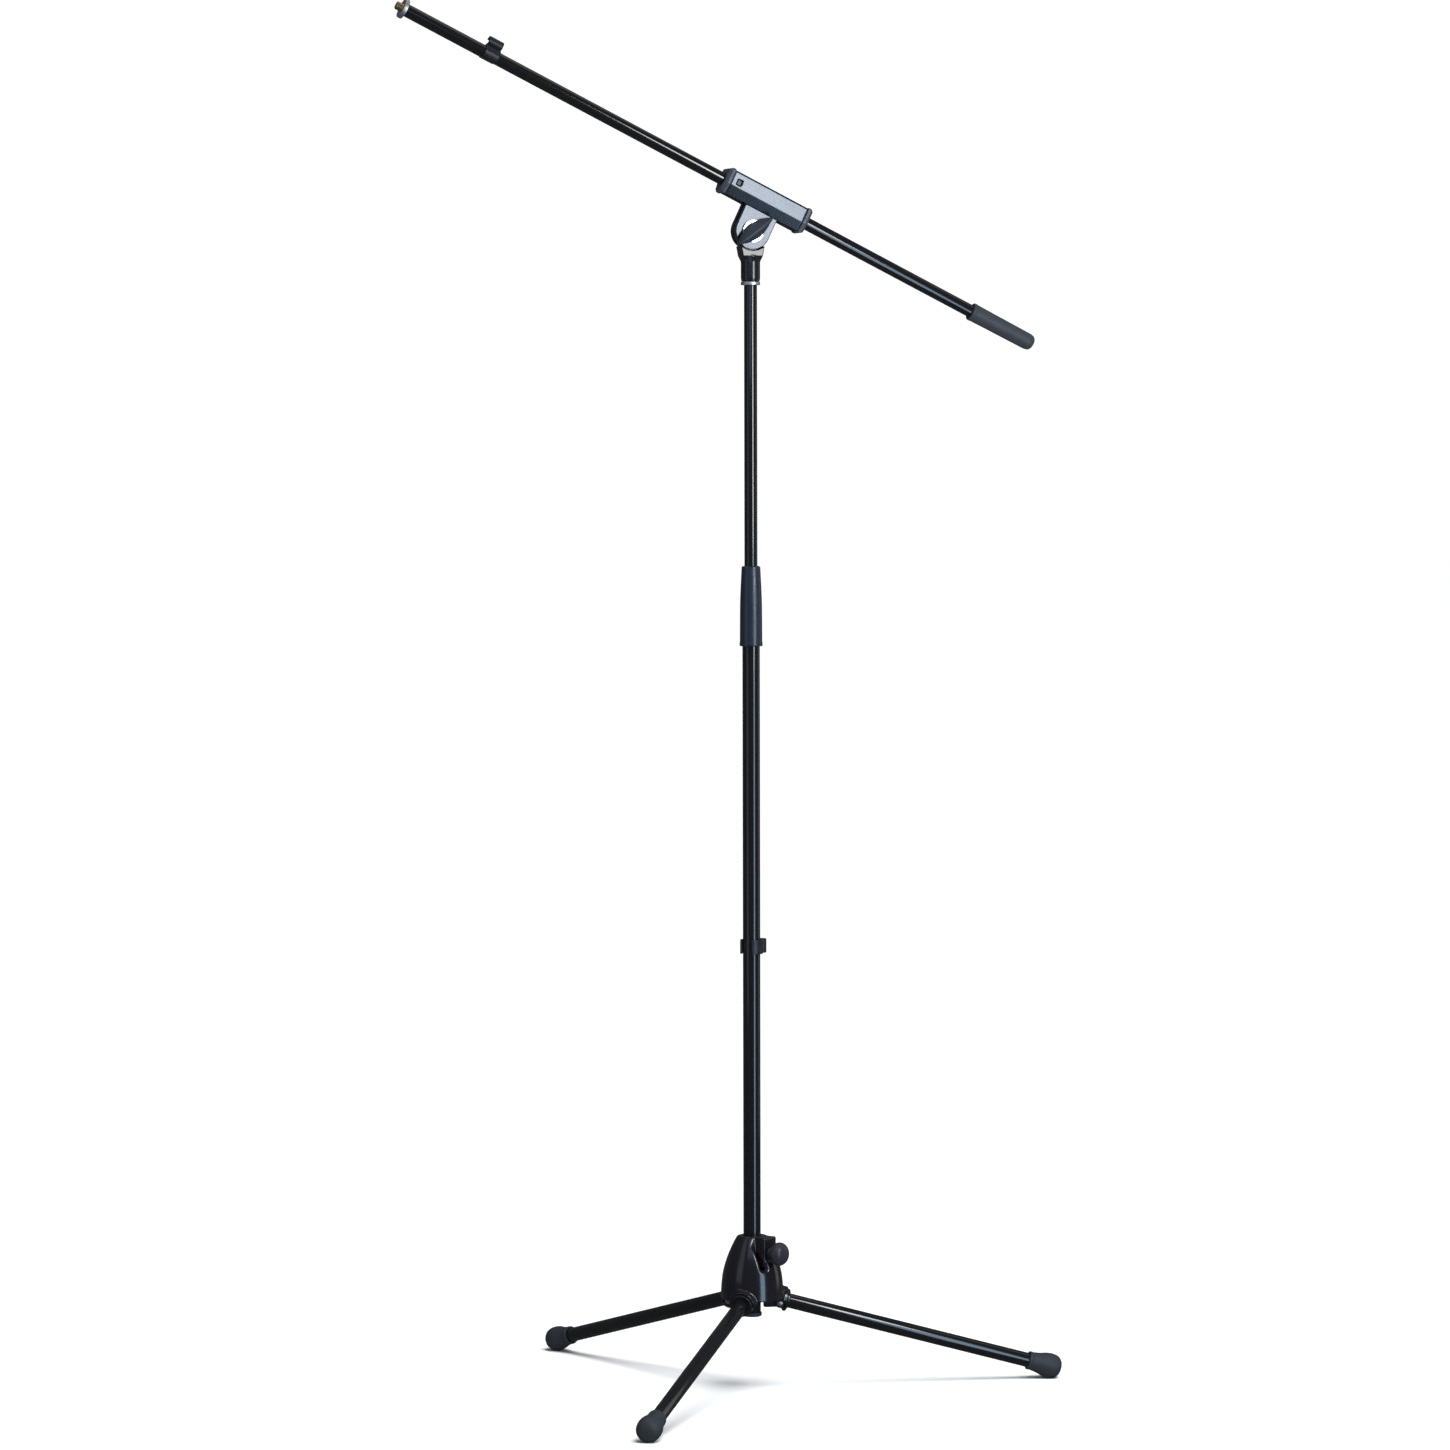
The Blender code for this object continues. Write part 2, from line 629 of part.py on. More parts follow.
def extension(column):
    """Upper tube with its guide bush, its thread insert and the socket of the boom joint."""
    tube("extension_tube", EXTENSION_RADIUS, EXTENSION_BORE, EXTENSION_BOTTOM, EXTENSION_TOP, column,
         BLACK_ENAMEL)
    turned("guide_bush", (
        (EXTENSION_BORE - GAP, EXTENSION_BOTTOM + GUIDE_BUSH_REACH),
        (EXTENSION_BORE - GAP, EXTENSION_BOTTOM - GAP),
        (LOWER_TUBE_BORE - GAP, EXTENSION_BOTTOM - GAP),
        (LOWER_TUBE_BORE - GAP, EXTENSION_BOTTOM - GUIDE_BUSH_REACH),
        (GUIDE_BUSH_BORE, EXTENSION_BOTTOM - GUIDE_BUSH_REACH),
        (GUIDE_BUSH_BORE, EXTENSION_BOTTOM + GUIDE_BUSH_REACH),
    ), column, MATTE_PLASTIC)
    thread_insert("column", EXTENSION_BORE - GAP, COLUMN_INSERT_RADIUS, EXTENSION_TOP + GAP,
                  COLUMN_INSERT_FACE, COLUMN_STUD_END, column, STRAIGHT)


def boom_socket(frame):
    """Threaded neck, flared knuckle with a round cradle, and the tongue between the clamp's cheeks."""
    bottom = COLUMN_INSERT_FACE + GAP - PIVOT_HEIGHT
    socket = turned("boom_socket", (
        (0.0000, NECK_TOP),
        (0.0084, NECK_TOP),
        (NECK_RADIUS, NECK_SHOULDER),
        (NECK_RADIUS, bottom + NECK_LIP),
        (NECK_RADIUS - 0.0009, bottom),
        (0.0000, bottom),
    ), frame, SATIN_METAL, ring=False, sides=ROUND)
    sides = [KNUCKLE_TOP, KNUCKLE_BOTTOM]
    sides += [(-x, z) for x, z in reversed(sides)]
    knuckle = extruded("socket_knuckle", sides, -CHEEK_DEPTH, CHEEK_DEPTH, frame, turn=FLAT_XZ)
    cradle = rod("socket_cradle", CRADLE_ROUND, -0.02, 0.02, frame, turn=ALONG_Y, sides=ROUND_LARGE)
    foot_x, foot_z = TONGUE_FOOT
    tongue_outline = arc(TONGUE_ROUND, -30, 210, 20) + [(-foot_x, foot_z), (foot_x, foot_z)]
    tongue = extruded("socket_tongue", tongue_outline, -TONGUE_DEPTH, TONGUE_DEPTH, frame, turn=FLAT_XZ)
    thread = rod("socket_thread", THREAD_HOLE_RADIUS, bottom - 0.01, bottom + NECK_THREAD_DEPTH, frame)
    pivot = rod("socket_pivot", SCREW_HOLE_RADIUS, -0.02, 0.02, frame, turn=ALONG_Y, sides=ROUND_SMALL)
    cut(knuckle, cradle)
    join(socket, knuckle, tongue)
    cut(socket, thread, pivot)


# ---------------------------------------------------------------- boom clamp

def sleeve_outline(grow=0.0):
    """Section of the clamp's sleeve about the boom: flat front and back, drawn in below."""
    right = [
        (0.0113 + grow, 0.0134 + grow),
        (0.0130 + grow, 0.0117 + grow),
        (0.0130 + grow, -0.0032 - grow / 2),
        (0.0092 + grow, -0.0134 - grow),
    ]
    left = [(-y, z) for y, z in reversed(right)]
    return [(y, z + BOOM_RISE) for y, z in right + left]


def clamp_housing(frame):
    """Sleeve round the boom with two cheeks that close on the socket's tongue."""
    housing = extruded("clamp_housing", sleeve_outline(), SLEEVE_START, SLEEVE_END, frame, SATIN_METAL,
                       ALONG_X)
    outline = arc(CHEEK_ROUND, 180, 360, 20) + [(CHEEK_ROUND, 0.0300), (-CHEEK_ROUND, 0.0300)]
    cheeks = extruded("cheeks", outline, -CHEEK_DEPTH, CHEEK_DEPTH, frame, turn=FLAT_XZ)
    bore_frame = new_empty("boom_axis", frame, (0, 0, BOOM_RISE))
    bore = rod("sleeve_bore", SLEEVE_BORE, SLEEVE_START - 0.01, SLEEVE_END + 0.01, bore_frame, turn=ALONG_X)
    slit = box("slit", (-0.08, -TONGUE_DEPTH - GAP, -0.03), (0.08, TONGUE_DEPTH + GAP, BOOM_RISE), frame)
    pivot = rod("cheek_hole", SCREW_HOLE_RADIUS, -0.02, 0.02, frame, turn=ALONG_Y, sides=ROUND_SMALL)
    join(housing, cheeks)
    cut(housing, bore, slit, pivot)
    middle = (SLEEVE_START + SLEEVE_END) / 2
    half = (SLEEVE_END - SLEEVE_START) / 2
    for name, side, spin in (("tip", 1, 0), ("tail", -1, math.pi)):
        end = new_empty(f"sleeve_end_{name}", bore_frame, (middle + side * half, 0, 0), (0, 0, spin))
        cut(housing, window_block(f"window_{name}", end, 0, 0.005, 0.02))
        clamp_bush(name, end)
    return bore_frame


def window_block(name, frame, inset, near, far):
    """Block at the window in the sleeve's wall, seen from the sleeve's end at X = 0."""
    half_width = WINDOW_WIDTH / 2 - inset
    half_height = WINDOW_HEIGHT / 2 - inset
    low = (-WINDOW_INSET - half_width, near, WINDOW_RISE - half_height)
    high = (-WINDOW_INSET + half_width, far, WINDOW_RISE + half_height)
    return box(name, low, high, frame)


def clamp_bush(name, frame):
    """Plastic end cap with a liner inside the sleeve and a tab that snaps into the window."""
    outline = [(y, z - BOOM_RISE) for y, z in sleeve_outline(CAP_OVERHANG)]
    bush = extruded(f"clamp_bush_{name}", outline, GAP, CAP_LENGTH, frame, MATTE_PLASTIC, ALONG_X)
    liner = rod(f"liner_{name}", LINER_RADIUS, -LINER_LENGTH, 0.002, frame, turn=ALONG_X)
    tab = window_block(f"tab_{name}", frame, 0.0006, 0.0080, 0.0118)
    bore = rod(f"liner_bore_{name}", LINER_BORE, -0.03, 0.02, frame, turn=ALONG_X)
    join(bush, liner, tab)
    cut(bush, bore)


def wing_screw(frame):
    """Washer, moulded wing, its steel screw and the nut behind the rear cheek."""
    face = CHEEK_DEPTH + GAP
    base = face + WASHER_THICKNESS + GAP
    tube("wing_washer", WASHER_RADIUS, SCREW_HOLE_RADIUS, face, face + WASHER_THICKNESS, frame, BRIGHT_STEEL,
         ALONG_Y)
    wing_knob(base, frame)
    rod("wing_screw", SCREW_RADIUS, SCREW_START, base + WING_SCREW_END, frame, BRIGHT_STEEL, ALONG_Y,
        ROUND_SMALL)
    nut = rod("clamp_nut", CLAMP_NUT_RADIUS, -face - CLAMP_NUT_HEIGHT, -face, frame, ZINC, ALONG_Y, 6)
    cut(nut, rod("clamp_nut_hole", SCREW_HOLE_RADIUS, -0.03, 0.0, frame, turn=ALONG_Y, sides=ROUND_SMALL))


def wing_knob(base, frame):
    """Round hub under a leaf-shaped wing that narrows to a crest."""
    wing = turned("wing_knob", (
        (0.0000, base + HUB_HEIGHT),
        (0.0068, base + HUB_HEIGHT),
        (0.0082, base + 0.0040),
        (0.0085, base),
        (0.0000, base),
    ), frame, MATTE_PLASTIC, turn=ALONG_Y, ring=False)
    half = WING_HALF_LENGTH
    upper = [(half, 0.0008), (0.0200, 0.0041), (0.0110, 0.0073), (0.0, 0.0088)]
    upper += [(-x, y) for x, y in reversed(upper[:-1])]
    outline = upper + [(x, -y) for x, y in reversed(upper)]
    leaf_frame = new_empty("wing_length", frame, (0, 0, 0), (0, WING_TURN, 0))
    leaf = extruded("wing_leaf", outline, base + WING_FOOT, base + WING_CREST, leaf_frame, turn=ALONG_Y)
    middle = base + (WING_FOOT + WING_CREST) / 2
    for vertex in leaf.data.vertices:
        if vertex.co.y > middle:
            vertex.co.z *= WING_CREST_SHARE
            vertex.co.y -= WING_TIP_DROP * (vertex.co.x / half) ** 2
    join(wing, leaf)
    hole_end = base + WING_SCREW_END + GAP
    hole = rod("wing_hole", SCREW_RADIUS + GAP, base - 0.01, hole_end, frame, turn=ALONG_Y, sides=ROUND_SMALL)
    cut(wing, hole)


# ---------------------------------------------------------------- boom

def boom(frame):
    """Boom tube with its thread insert, cable clip and rubber grip; its axis is the frame's X."""
    tube("boom_tube", BOOM_RADIUS, BOOM_BORE, BOOM_TUBE_TAIL, BOOM_TUBE_TIP, frame, BLACK_ENAMEL, ALONG_X)
    thread_insert("boom", BOOM_BORE - GAP, BOOM_INSERT_RADIUS, BOOM_TUBE_TIP + GAP, BOOM_INSERT_FACE,
                  BOOM_STUD_END, frame, ALONG_X)
    clip("boom_clip", BOOM_RADIUS, BOOM_CLIP_WALL, BOOM_HOOK_RISE, BOOM_CLIP_START,
         BOOM_CLIP_START + BOOM_CLIP_LENGTH, frame, ALONG_X)
    turned("boom_grip", (
        (BOOM_RADIUS + GAP, BOOM_GRIP_START),
        (0.0095, BOOM_GRIP_START),
        (0.0101, BOOM_GRIP_START - 0.0012),
        (0.0100, BOOM_GRIP_START - 0.0035),
        (0.0097, BOOM_GRIP_START - 0.0060),
        (0.0091, BOOM_GRIP_END + 0.0080),
        (0.0082, BOOM_GRIP_END + 0.0025),
        (0.0060, BOOM_GRIP_END + 0.0005),
        (0.0000, BOOM_GRIP_END),
        (0.0000, BOOM_TUBE_TAIL - GAP),
        (BOOM_RADIUS + GAP, BOOM_TUBE_TAIL - GAP),
    ), frame, RUBBER, turn=ALONG_X)


# ---------------------------------------------------------------- the whole stand

def leg_frame(side, azimuth, stand):
    turn = azimuth_turn(azimuth)
    place = (LEG_PIVOT_RADIUS * math.cos(turn), LEG_PIVOT_RADIUS * math.sin(turn), LEG_PIVOT_HEIGHT)
    return new_empty(f"leg_pivot_{side}", stand, place, (0, LEG_SLOPE, turn))


def build_stand():
    stand = new_empty("stand_frame", None, (COLUMN_X, COLUMN_Y, 0))
    leg_frames = {side: leg_frame(side, azimuth, stand) for side, azimuth in LEG_AZIMUTHS.items()}
    clamp_frame = new_empty("clamp_axis", stand, (0, 0, CLAMP_HEIGHT), (0, 0, azimuth_turn(CLAMP_AZIMUTH)))
    base_casting(stand, leg_frames, clamp_frame)
    base_clamp(clamp_frame)
    for side, frame in leg_frames.items():
        leg(side, frame, stand)
    lower_column(stand)
    clutch(stand)
    column_clip(stand)
    extension(stand)
    heading = math.pi + BOOM_YAW
    boom_socket(new_empty("socket_frame", stand, (0, 0, PIVOT_HEIGHT), (0, 0, heading)))
    tilt_axis = new_empty("tilt_axis", stand, (0, 0, PIVOT_HEIGHT), (0, -BOOM_TILT, heading))
    boom_axis = clamp_housing(tilt_axis)
    wing_screw(tilt_axis)
    boom(boom_axis)


build_stand()
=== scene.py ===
"""Boom microphone stand: fine surfaces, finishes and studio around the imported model.

Every piece is built in metres in the stand's own frame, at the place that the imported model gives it, and
rides on the body that carries it. A long or turned piece has a place of its own, whose X axis is the
piece's length.
"""

import json
import math

import bmesh
import bpy
import numpy as np
from mathutils import Matrix, Vector


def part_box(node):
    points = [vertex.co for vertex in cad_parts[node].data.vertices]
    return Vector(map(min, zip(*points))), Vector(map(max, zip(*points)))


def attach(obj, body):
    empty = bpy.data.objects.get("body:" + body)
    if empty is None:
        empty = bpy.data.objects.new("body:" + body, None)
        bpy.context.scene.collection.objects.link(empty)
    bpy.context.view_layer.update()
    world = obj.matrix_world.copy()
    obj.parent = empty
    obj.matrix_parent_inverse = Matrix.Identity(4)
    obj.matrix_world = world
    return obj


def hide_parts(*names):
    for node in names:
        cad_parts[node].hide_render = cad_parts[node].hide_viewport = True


bl_info = {
    "name": "Boom microphone stand",
    "version": (1, 0, 0),
    "blender": (4, 5, 0),
    "location": "3D View > Sidebar > Stand",
    "description": "Builds the fine surfaces, finishes and studio of a boom microphone stand",
    "category": "Object",
}

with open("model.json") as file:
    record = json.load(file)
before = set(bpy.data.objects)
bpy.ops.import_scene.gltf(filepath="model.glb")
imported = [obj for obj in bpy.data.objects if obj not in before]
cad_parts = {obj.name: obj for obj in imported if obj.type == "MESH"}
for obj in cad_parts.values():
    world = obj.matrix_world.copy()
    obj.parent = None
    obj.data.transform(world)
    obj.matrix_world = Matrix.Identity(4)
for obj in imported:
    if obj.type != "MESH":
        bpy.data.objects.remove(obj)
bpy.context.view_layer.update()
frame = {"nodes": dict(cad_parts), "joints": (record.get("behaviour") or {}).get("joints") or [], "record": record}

JOINTS = {joint["name"]: joint for joint in frame["joints"]}
BODY_OF = {node: body for body, nodes in frame["record"]["behaviour"]["bodies"].items() for node in nodes}
SIDES = ("left", "front", "right")
GAP = 0.0003                     # clearance between neighbouring pieces
UP = Vector((0, 0, 1))


# ---------------------------------------------------------------- places

def place(origin, x_axis, y_axis):
    """Frame with this origin, whose X and Y axes point these ways."""
    x = Vector(x_axis).normalized()
    y = Vector(y_axis).normalized()
    matrix = Matrix((x, y, x.cross(y))).transposed().to_4x4()
    matrix.translation = Vector(origin)
    return matrix


def shifted(where, x=0.0, y=0.0, z=0.0):
    return where @ Matrix.Translation((x, y, z))


def local(points, where):
    """World points seen from a place."""
    inverse = np.array(where.inverted())
    return points @ inverse[:3, :3].T + inverse[:3, 3]


def node_points(node, where):
    return local(np.array([vertex.co for vertex in frame["nodes"][node].data.vertices]), where)


def span(node, where):
    """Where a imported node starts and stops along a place's X axis."""
    along = node_points(node, where)[:, 0]
    return float(along.min()), float(along.max())


def radii(node, where):
    """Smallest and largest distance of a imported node's corners from a place's X axis."""
    points = node_points(node, where)
    around = np.hypot(points[:, 1], points[:, 2])
    return float(around.min()), float(around.max())


COLUMN_X, COLUMN_Y = JOINTS["extension_turn"]["pos_m"][:2]
COLUMN = place((COLUMN_X, COLUMN_Y, 0), UP, (1, 0, 0))
TILT = place(JOINTS["boom_tilt"]["pos_m"], JOINTS["boom_slide"]["axis"], JOINTS["boom_tilt"]["axis"])
WING = place(TILT.translation, TILT.col[1].xyz, TILT.col[2].xyz)
BASE_CLAMP = place(
    JOINTS["base_knob_turn"]["pos_m"],
    JOINTS["base_knob_turn"]["axis"],
    UP.cross(Vector(JOINTS["base_knob_turn"]["axis"])),
)
LEG_SLOPE = math.radians(15.57)
LEG_AXIS_RISE = 0.0037           # the tube's axis above the leg's bolt


def leg_place(side):
    """X along the leg towards its foot, Y along its bolt, origin on the bolt."""
    joint = JOINTS[f"leg_{side}_fold"]
    bolt = Vector(joint["axis"])
    outwards = bolt.cross(UP)
    along = outwards * math.cos(LEG_SLOPE) - UP * math.sin(LEG_SLOPE)
    return place(joint["pos_m"], along, bolt)


LEG = {side: leg_place(side) for side in SIDES}
LEG_AXIS = {side: shifted(LEG[side], z=LEG_AXIS_RISE) for side in SIDES}
BOOM_HEIGHTS = node_points("boom_tube", TILT)[:, 2]
BOOM_RISE = float(np.mean([BOOM_HEIGHTS.min(), BOOM_HEIGHTS.max()]))
BOOM = shifted(TILT, z=BOOM_RISE)
SOCKET = place(TILT.translation, Vector((TILT.col[0][0], TILT.col[0][1], 0)), TILT.col[1].xyz)


# ---------------------------------------------------------------- sizes and colours that a user sets

class StandDetail(bpy.types.PropertyGroup):
    """How finely the pieces are made."""

    sides: bpy.props.IntProperty(name="Sides", description="Sides of a round piece", default=96, min=24)
    grid: bpy.props.FloatProperty(
        name="Cast grid", description="Spacing of the surface grid on cast and moulded pieces",
        default=0.00055, min=0.0002, unit="LENGTH", precision=5)
    edge_round: bpy.props.FloatProperty(
        name="Edge round", description="Rounding of the edges of turned pieces",
        default=0.0004, unit="LENGTH", precision=5)
    tube_round: bpy.props.FloatProperty(
        name="Tube end round", description="Rounding of a tube's cut end",
        default=0.0003, unit="LENGTH", precision=5)
    stud_pitch: bpy.props.FloatProperty(
        name="Stud pitch", description="Pitch of the 3/8 inch thread", default=0.00159,
        unit="LENGTH", precision=5)
    bolt_pitch: bpy.props.FloatProperty(
        name="Bolt pitch", description="Pitch of the screws and bolts", default=0.0010,
        unit="LENGTH", precision=5)


class StandFinish(bpy.types.PropertyGroup):
    """Base colours and roughness of the finishes."""

    enamel: bpy.props.FloatVectorProperty(
        name="Enamel", description="Black enamel of the tubes", subtype="COLOR",
        default=(0.0045, 0.0048, 0.0055), min=0, max=1)
    casting: bpy.props.FloatVectorProperty(
        name="Casting", description="Black enamel of the base casting", subtype="COLOR",
        default=(0.0060, 0.0052, 0.0075), min=0, max=1)
    satin: bpy.props.FloatVectorProperty(
        name="Satin", description="Satin grey of the boom clamp", subtype="COLOR",
        default=(0.047, 0.052, 0.061), min=0, max=1)
    plastic: bpy.props.FloatVectorProperty(
        name="Plastic", description="Dark moulded plastic", subtype="COLOR",
        default=(0.020, 0.024, 0.031), min=0, max=1)
    rubber: bpy.props.FloatVectorProperty(
        name="Rubber", description="Rubber of the feet and the grip", subtype="COLOR",
        default=(0.017, 0.020, 0.026), min=0, max=1)
    zinc: bpy.props.FloatVectorProperty(
        name="Zinc", description="Zinc plate of discs, bolts and nuts", subtype="COLOR",
        default=(0.66, 0.67, 0.68), min=0, max=1)
    brass: bpy.props.FloatVectorProperty(
        name="Brass", description="Brass of the threaded studs", subtype="COLOR",
        default=(0.56, 0.42, 0.20), min=0, max=1)
    steel: bpy.props.FloatVectorProperty(
        name="Steel", description="Polished steel of the washer", subtype="COLOR",
        default=(0.74, 0.72, 0.70), min=0, max=1)


class StandStage(bpy.types.PropertyGroup):
    """Studio around the stand."""

    floor: bpy.props.FloatVectorProperty(
        name="Floor", description="Colour of the floor", subtype="COLOR", default=(0.94, 0.94, 0.94),
        min=0, max=1)
    backdrop: bpy.props.FloatProperty(
        name="Backdrop", description="Brightness behind the stand", default=1.05)
    ambient: bpy.props.FloatProperty(
        name="Ambient", description="Light from all around", default=0.08)
    key: bpy.props.FloatProperty(
        name="Key", description="Radiance of the tall light on the right", default=16.0)
    low_key: bpy.props.FloatProperty(
        name="Low key", description="Radiance of the light under the key", default=5.0)
    fill: bpy.props.FloatProperty(
        name="Fill", description="Radiance of the wide light on the left", default=0.5)
    high_front: bpy.props.FloatProperty(
        name="High front", description="Radiance of the blue light above the camera", default=1.1)
    rim: bpy.props.FloatProperty(
        name="Rim", description="Radiance of the light behind on the right", default=0.7)
    overhead: bpy.props.FloatProperty(
        name="Overhead", description="Radiance of the panel above", default=0.6)
    top: bpy.props.FloatProperty(
        name="Floor light", description="Strength of the even light from above", default=3.7)
    distance: bpy.props.FloatProperty(
        name="Camera distance", description="Distance from the column to the camera", default=6.0,
        unit="LENGTH")
    eye_height: bpy.props.FloatProperty(
        name="Eye height", description="Height of the camera", default=1.0565, unit="LENGTH", precision=4)
    pitch: bpy.props.FloatProperty(
        name="Pitch", description="How far the camera looks down", default=math.radians(3.122),
        subtype="ANGLE", precision=4)
    yaw: bpy.props.FloatProperty(
        name="Yaw", description="How far the camera looks to the left", default=math.radians(0.273),
        subtype="ANGLE", precision=4)
    roll: bpy.props.FloatProperty(
        name="Roll", description="How far the camera leans to its left", default=math.radians(-0.112),
        subtype="ANGLE", precision=4)
    lens: bpy.props.FloatProperty(
        name="Lens", description="Focal length in millimetres on a 36 mm frame", default=136.8)


# ---------------------------------------------------------------- shading groups and finishes

def build_group(name, inputs, outputs):
    """Empty shader group with float or vector sockets, given as {name: default}."""
    group = bpy.data.node_groups.new(name, "ShaderNodeTree")
    for label, default in inputs.items():
        kind = "NodeSocketVector" if default is None else "NodeSocketFloat"
        socket = group.interface.new_socket(label, in_out="INPUT", socket_type=kind)
        if default is not None:
            socket.default_value = default
    for label in outputs:
        group.interface.new_socket(label, in_out="OUTPUT", socket_type="NodeSocketFloat")
    return group


class Wiring:
    """Adds nodes to a tree and links them; a socket or a plain value can feed any input."""

    def __init__(self, tree):
        self.tree = tree
        self.count = 0

    def node(self, kind, **settings):
        made = self.tree.nodes.new(kind)
        made.location = (220 * (self.count % 8), -260 * (self.count // 8))
        self.count += 1
        for key, value in settings.items():
            setattr(made, key, value)
        return made

    def feed(self, socket, value):
        if isinstance(value, bpy.types.NodeSocket):
            self.tree.links.new(value, socket)
        else:
            socket.default_value = value

    def math(self, operation, a, b=None, clamp=False):
        made = self.node("ShaderNodeMath", operation=operation, use_clamp=clamp)
        self.feed(made.inputs[0], a)
        if b is not None:
            self.feed(made.inputs[1], b)
        return made.outputs[0]

    def ramp(self, value, low, high, start=0.0, stop=1.0):
        made = self.node("ShaderNodeMapRange", clamp=True)
        self.feed(made.inputs["Value"], value)
        self.feed(made.inputs["From Min"], low)
        self.feed(made.inputs["From Max"], high)
        self.feed(made.inputs["To Min"], start)
        self.feed(made.inputs["To Max"], stop)
        return made.outputs["Result"]

    def noise(self, vector, scale, detail=3.0, roughness=0.55):
        made = self.node("ShaderNodeTexNoise")
        self.feed(made.inputs["Vector"], vector)
        self.feed(made.inputs["Scale"], scale)
        self.feed(made.inputs["Detail"], detail)
        self.feed(made.inputs["Roughness"], roughness)
        return made.outputs["Fac"]

    def mix_colour(self, factor, first, second):
        made = self.node("ShaderNodeMix", data_type="RGBA")
        self.feed(made.inputs[0], factor)
        self.feed(made.inputs[6], first)
        self.feed(made.inputs[7], second)
        return made.outputs[2]


def dust_group():
    """Dust: fine specks, thicker on what faces up."""
    group = build_group("Stand dust", {"Vector": None, "Scale": 1800.0, "Amount": 0.3}, ("Mask",))
    wiring = Wiring(group)
    source = wiring.node("NodeGroupInput")
    sink = wiring.node("NodeGroupOutput")
    specks = wiring.noise(source.outputs["Vector"], source.outputs["Scale"], 1.0)
    patches = wiring.noise(source.outputs["Vector"], 28.0, 2.0)
    normal = wiring.node("ShaderNodeNewGeometry").outputs["Normal"]
    split = wiring.node("ShaderNodeSeparateXYZ")
    wiring.feed(split.inputs[0], normal)
    upward = wiring.ramp(split.outputs["Z"], -0.2, 0.9, 0.25, 1.0)
    sharp = wiring.ramp(specks, 0.60, 0.72)
    spread = wiring.ramp(patches, 0.35, 0.75, 0.2, 1.0)
    mask = wiring.math("MULTIPLY", wiring.math("MULTIPLY", sharp, spread), upward)
    wiring.feed(sink.inputs["Mask"], wiring.math("MULTIPLY", mask, source.outputs["Amount"], clamp=True))
    return group


def smear_group():
    """Handling marks: soft patches that dull a gloss, and hair scratches along one direction."""
    group = build_group(
        "Stand smears", {"Vector": None, "Patch Scale": 35.0, "Patches": 0.5, "Scratches": 0.4},
        ("Mask", "Height"))
    wiring = Wiring(group)
    source = wiring.node("NodeGroupInput")
    sink = wiring.node("NodeGroupOutput")
    patches = wiring.noise(source.outputs["Vector"], source.outputs["Patch Scale"], 4.0, 0.6)
    soft = wiring.ramp(patches, 0.42, 0.70)
    stretch = wiring.node("ShaderNodeMapping", vector_type="POINT")
    wiring.feed(stretch.inputs["Vector"], source.outputs["Vector"])
    stretch.inputs["Scale"].default_value = (35.0, 1400.0, 1400.0)
    hairs = wiring.ramp(wiring.noise(stretch.outputs[0], 1.0, 2.0), 0.66, 0.72)
    gate = wiring.ramp(wiring.noise(source.outputs["Vector"], 60.0, 1.0), 0.5, 0.6)
    lines = wiring.math("MULTIPLY", wiring.math("MULTIPLY", hairs, gate), source.outputs["Scratches"])
    dulled = wiring.math("MULTIPLY", soft, source.outputs["Patches"])
    wiring.feed(sink.inputs["Mask"], wiring.math("ADD", dulled, lines, clamp=True))
    wiring.feed(sink.inputs["Height"], wiring.math("MULTIPLY", lines, -1.0))
    return group


def skin_group():
    """Surface of a sprayed or moulded skin: long waves and fine grain, as a height."""
    group = build_group(
        "Stand skin",
        {"Vector": None, "Wave Scale": 260.0, "Waves": 1.0, "Grain Scale": 2600.0, "Grain": 0.2},
        ("Height", "Grain"))
    wiring = Wiring(group)
    source = wiring.node("NodeGroupInput")
    sink = wiring.node("NodeGroupOutput")
    waves = wiring.noise(source.outputs["Vector"], source.outputs["Wave Scale"], 2.0, 0.4)
    grain = wiring.noise(source.outputs["Vector"], source.outputs["Grain Scale"], 3.0, 0.7)
    tall = wiring.math("MULTIPLY", waves, source.outputs["Waves"])
    fine = wiring.math("MULTIPLY", grain, source.outputs["Grain"])
    wiring.feed(sink.inputs["Height"], wiring.math("ADD", tall, fine))
    wiring.feed(sink.inputs["Grain"], grain)
    return group


def edge_group():
    """Edges: a mask that rises where the surface turns sharply outwards, broken up by noise."""
    group = build_group("Stand edges", {"Vector": None, "Amount": 0.5, "Break Scale": 700.0}, ("Mask",))
    wiring = Wiring(group)
    source = wiring.node("NodeGroupInput")
    sink = wiring.node("NodeGroupOutput")
    pointed = wiring.node("ShaderNodeNewGeometry").outputs["Pointiness"]
    edge = wiring.ramp(pointed, 0.53, 0.62)
    patches = wiring.noise(source.outputs["Vector"], source.outputs["Break Scale"], 3.0)
    broken = wiring.ramp(patches, 0.35, 0.65)
    mask = wiring.math("MULTIPLY", edge, broken)
    wiring.feed(sink.inputs["Mask"], wiring.math("MULTIPLY", mask, source.outputs["Amount"], clamp=True))
    return group


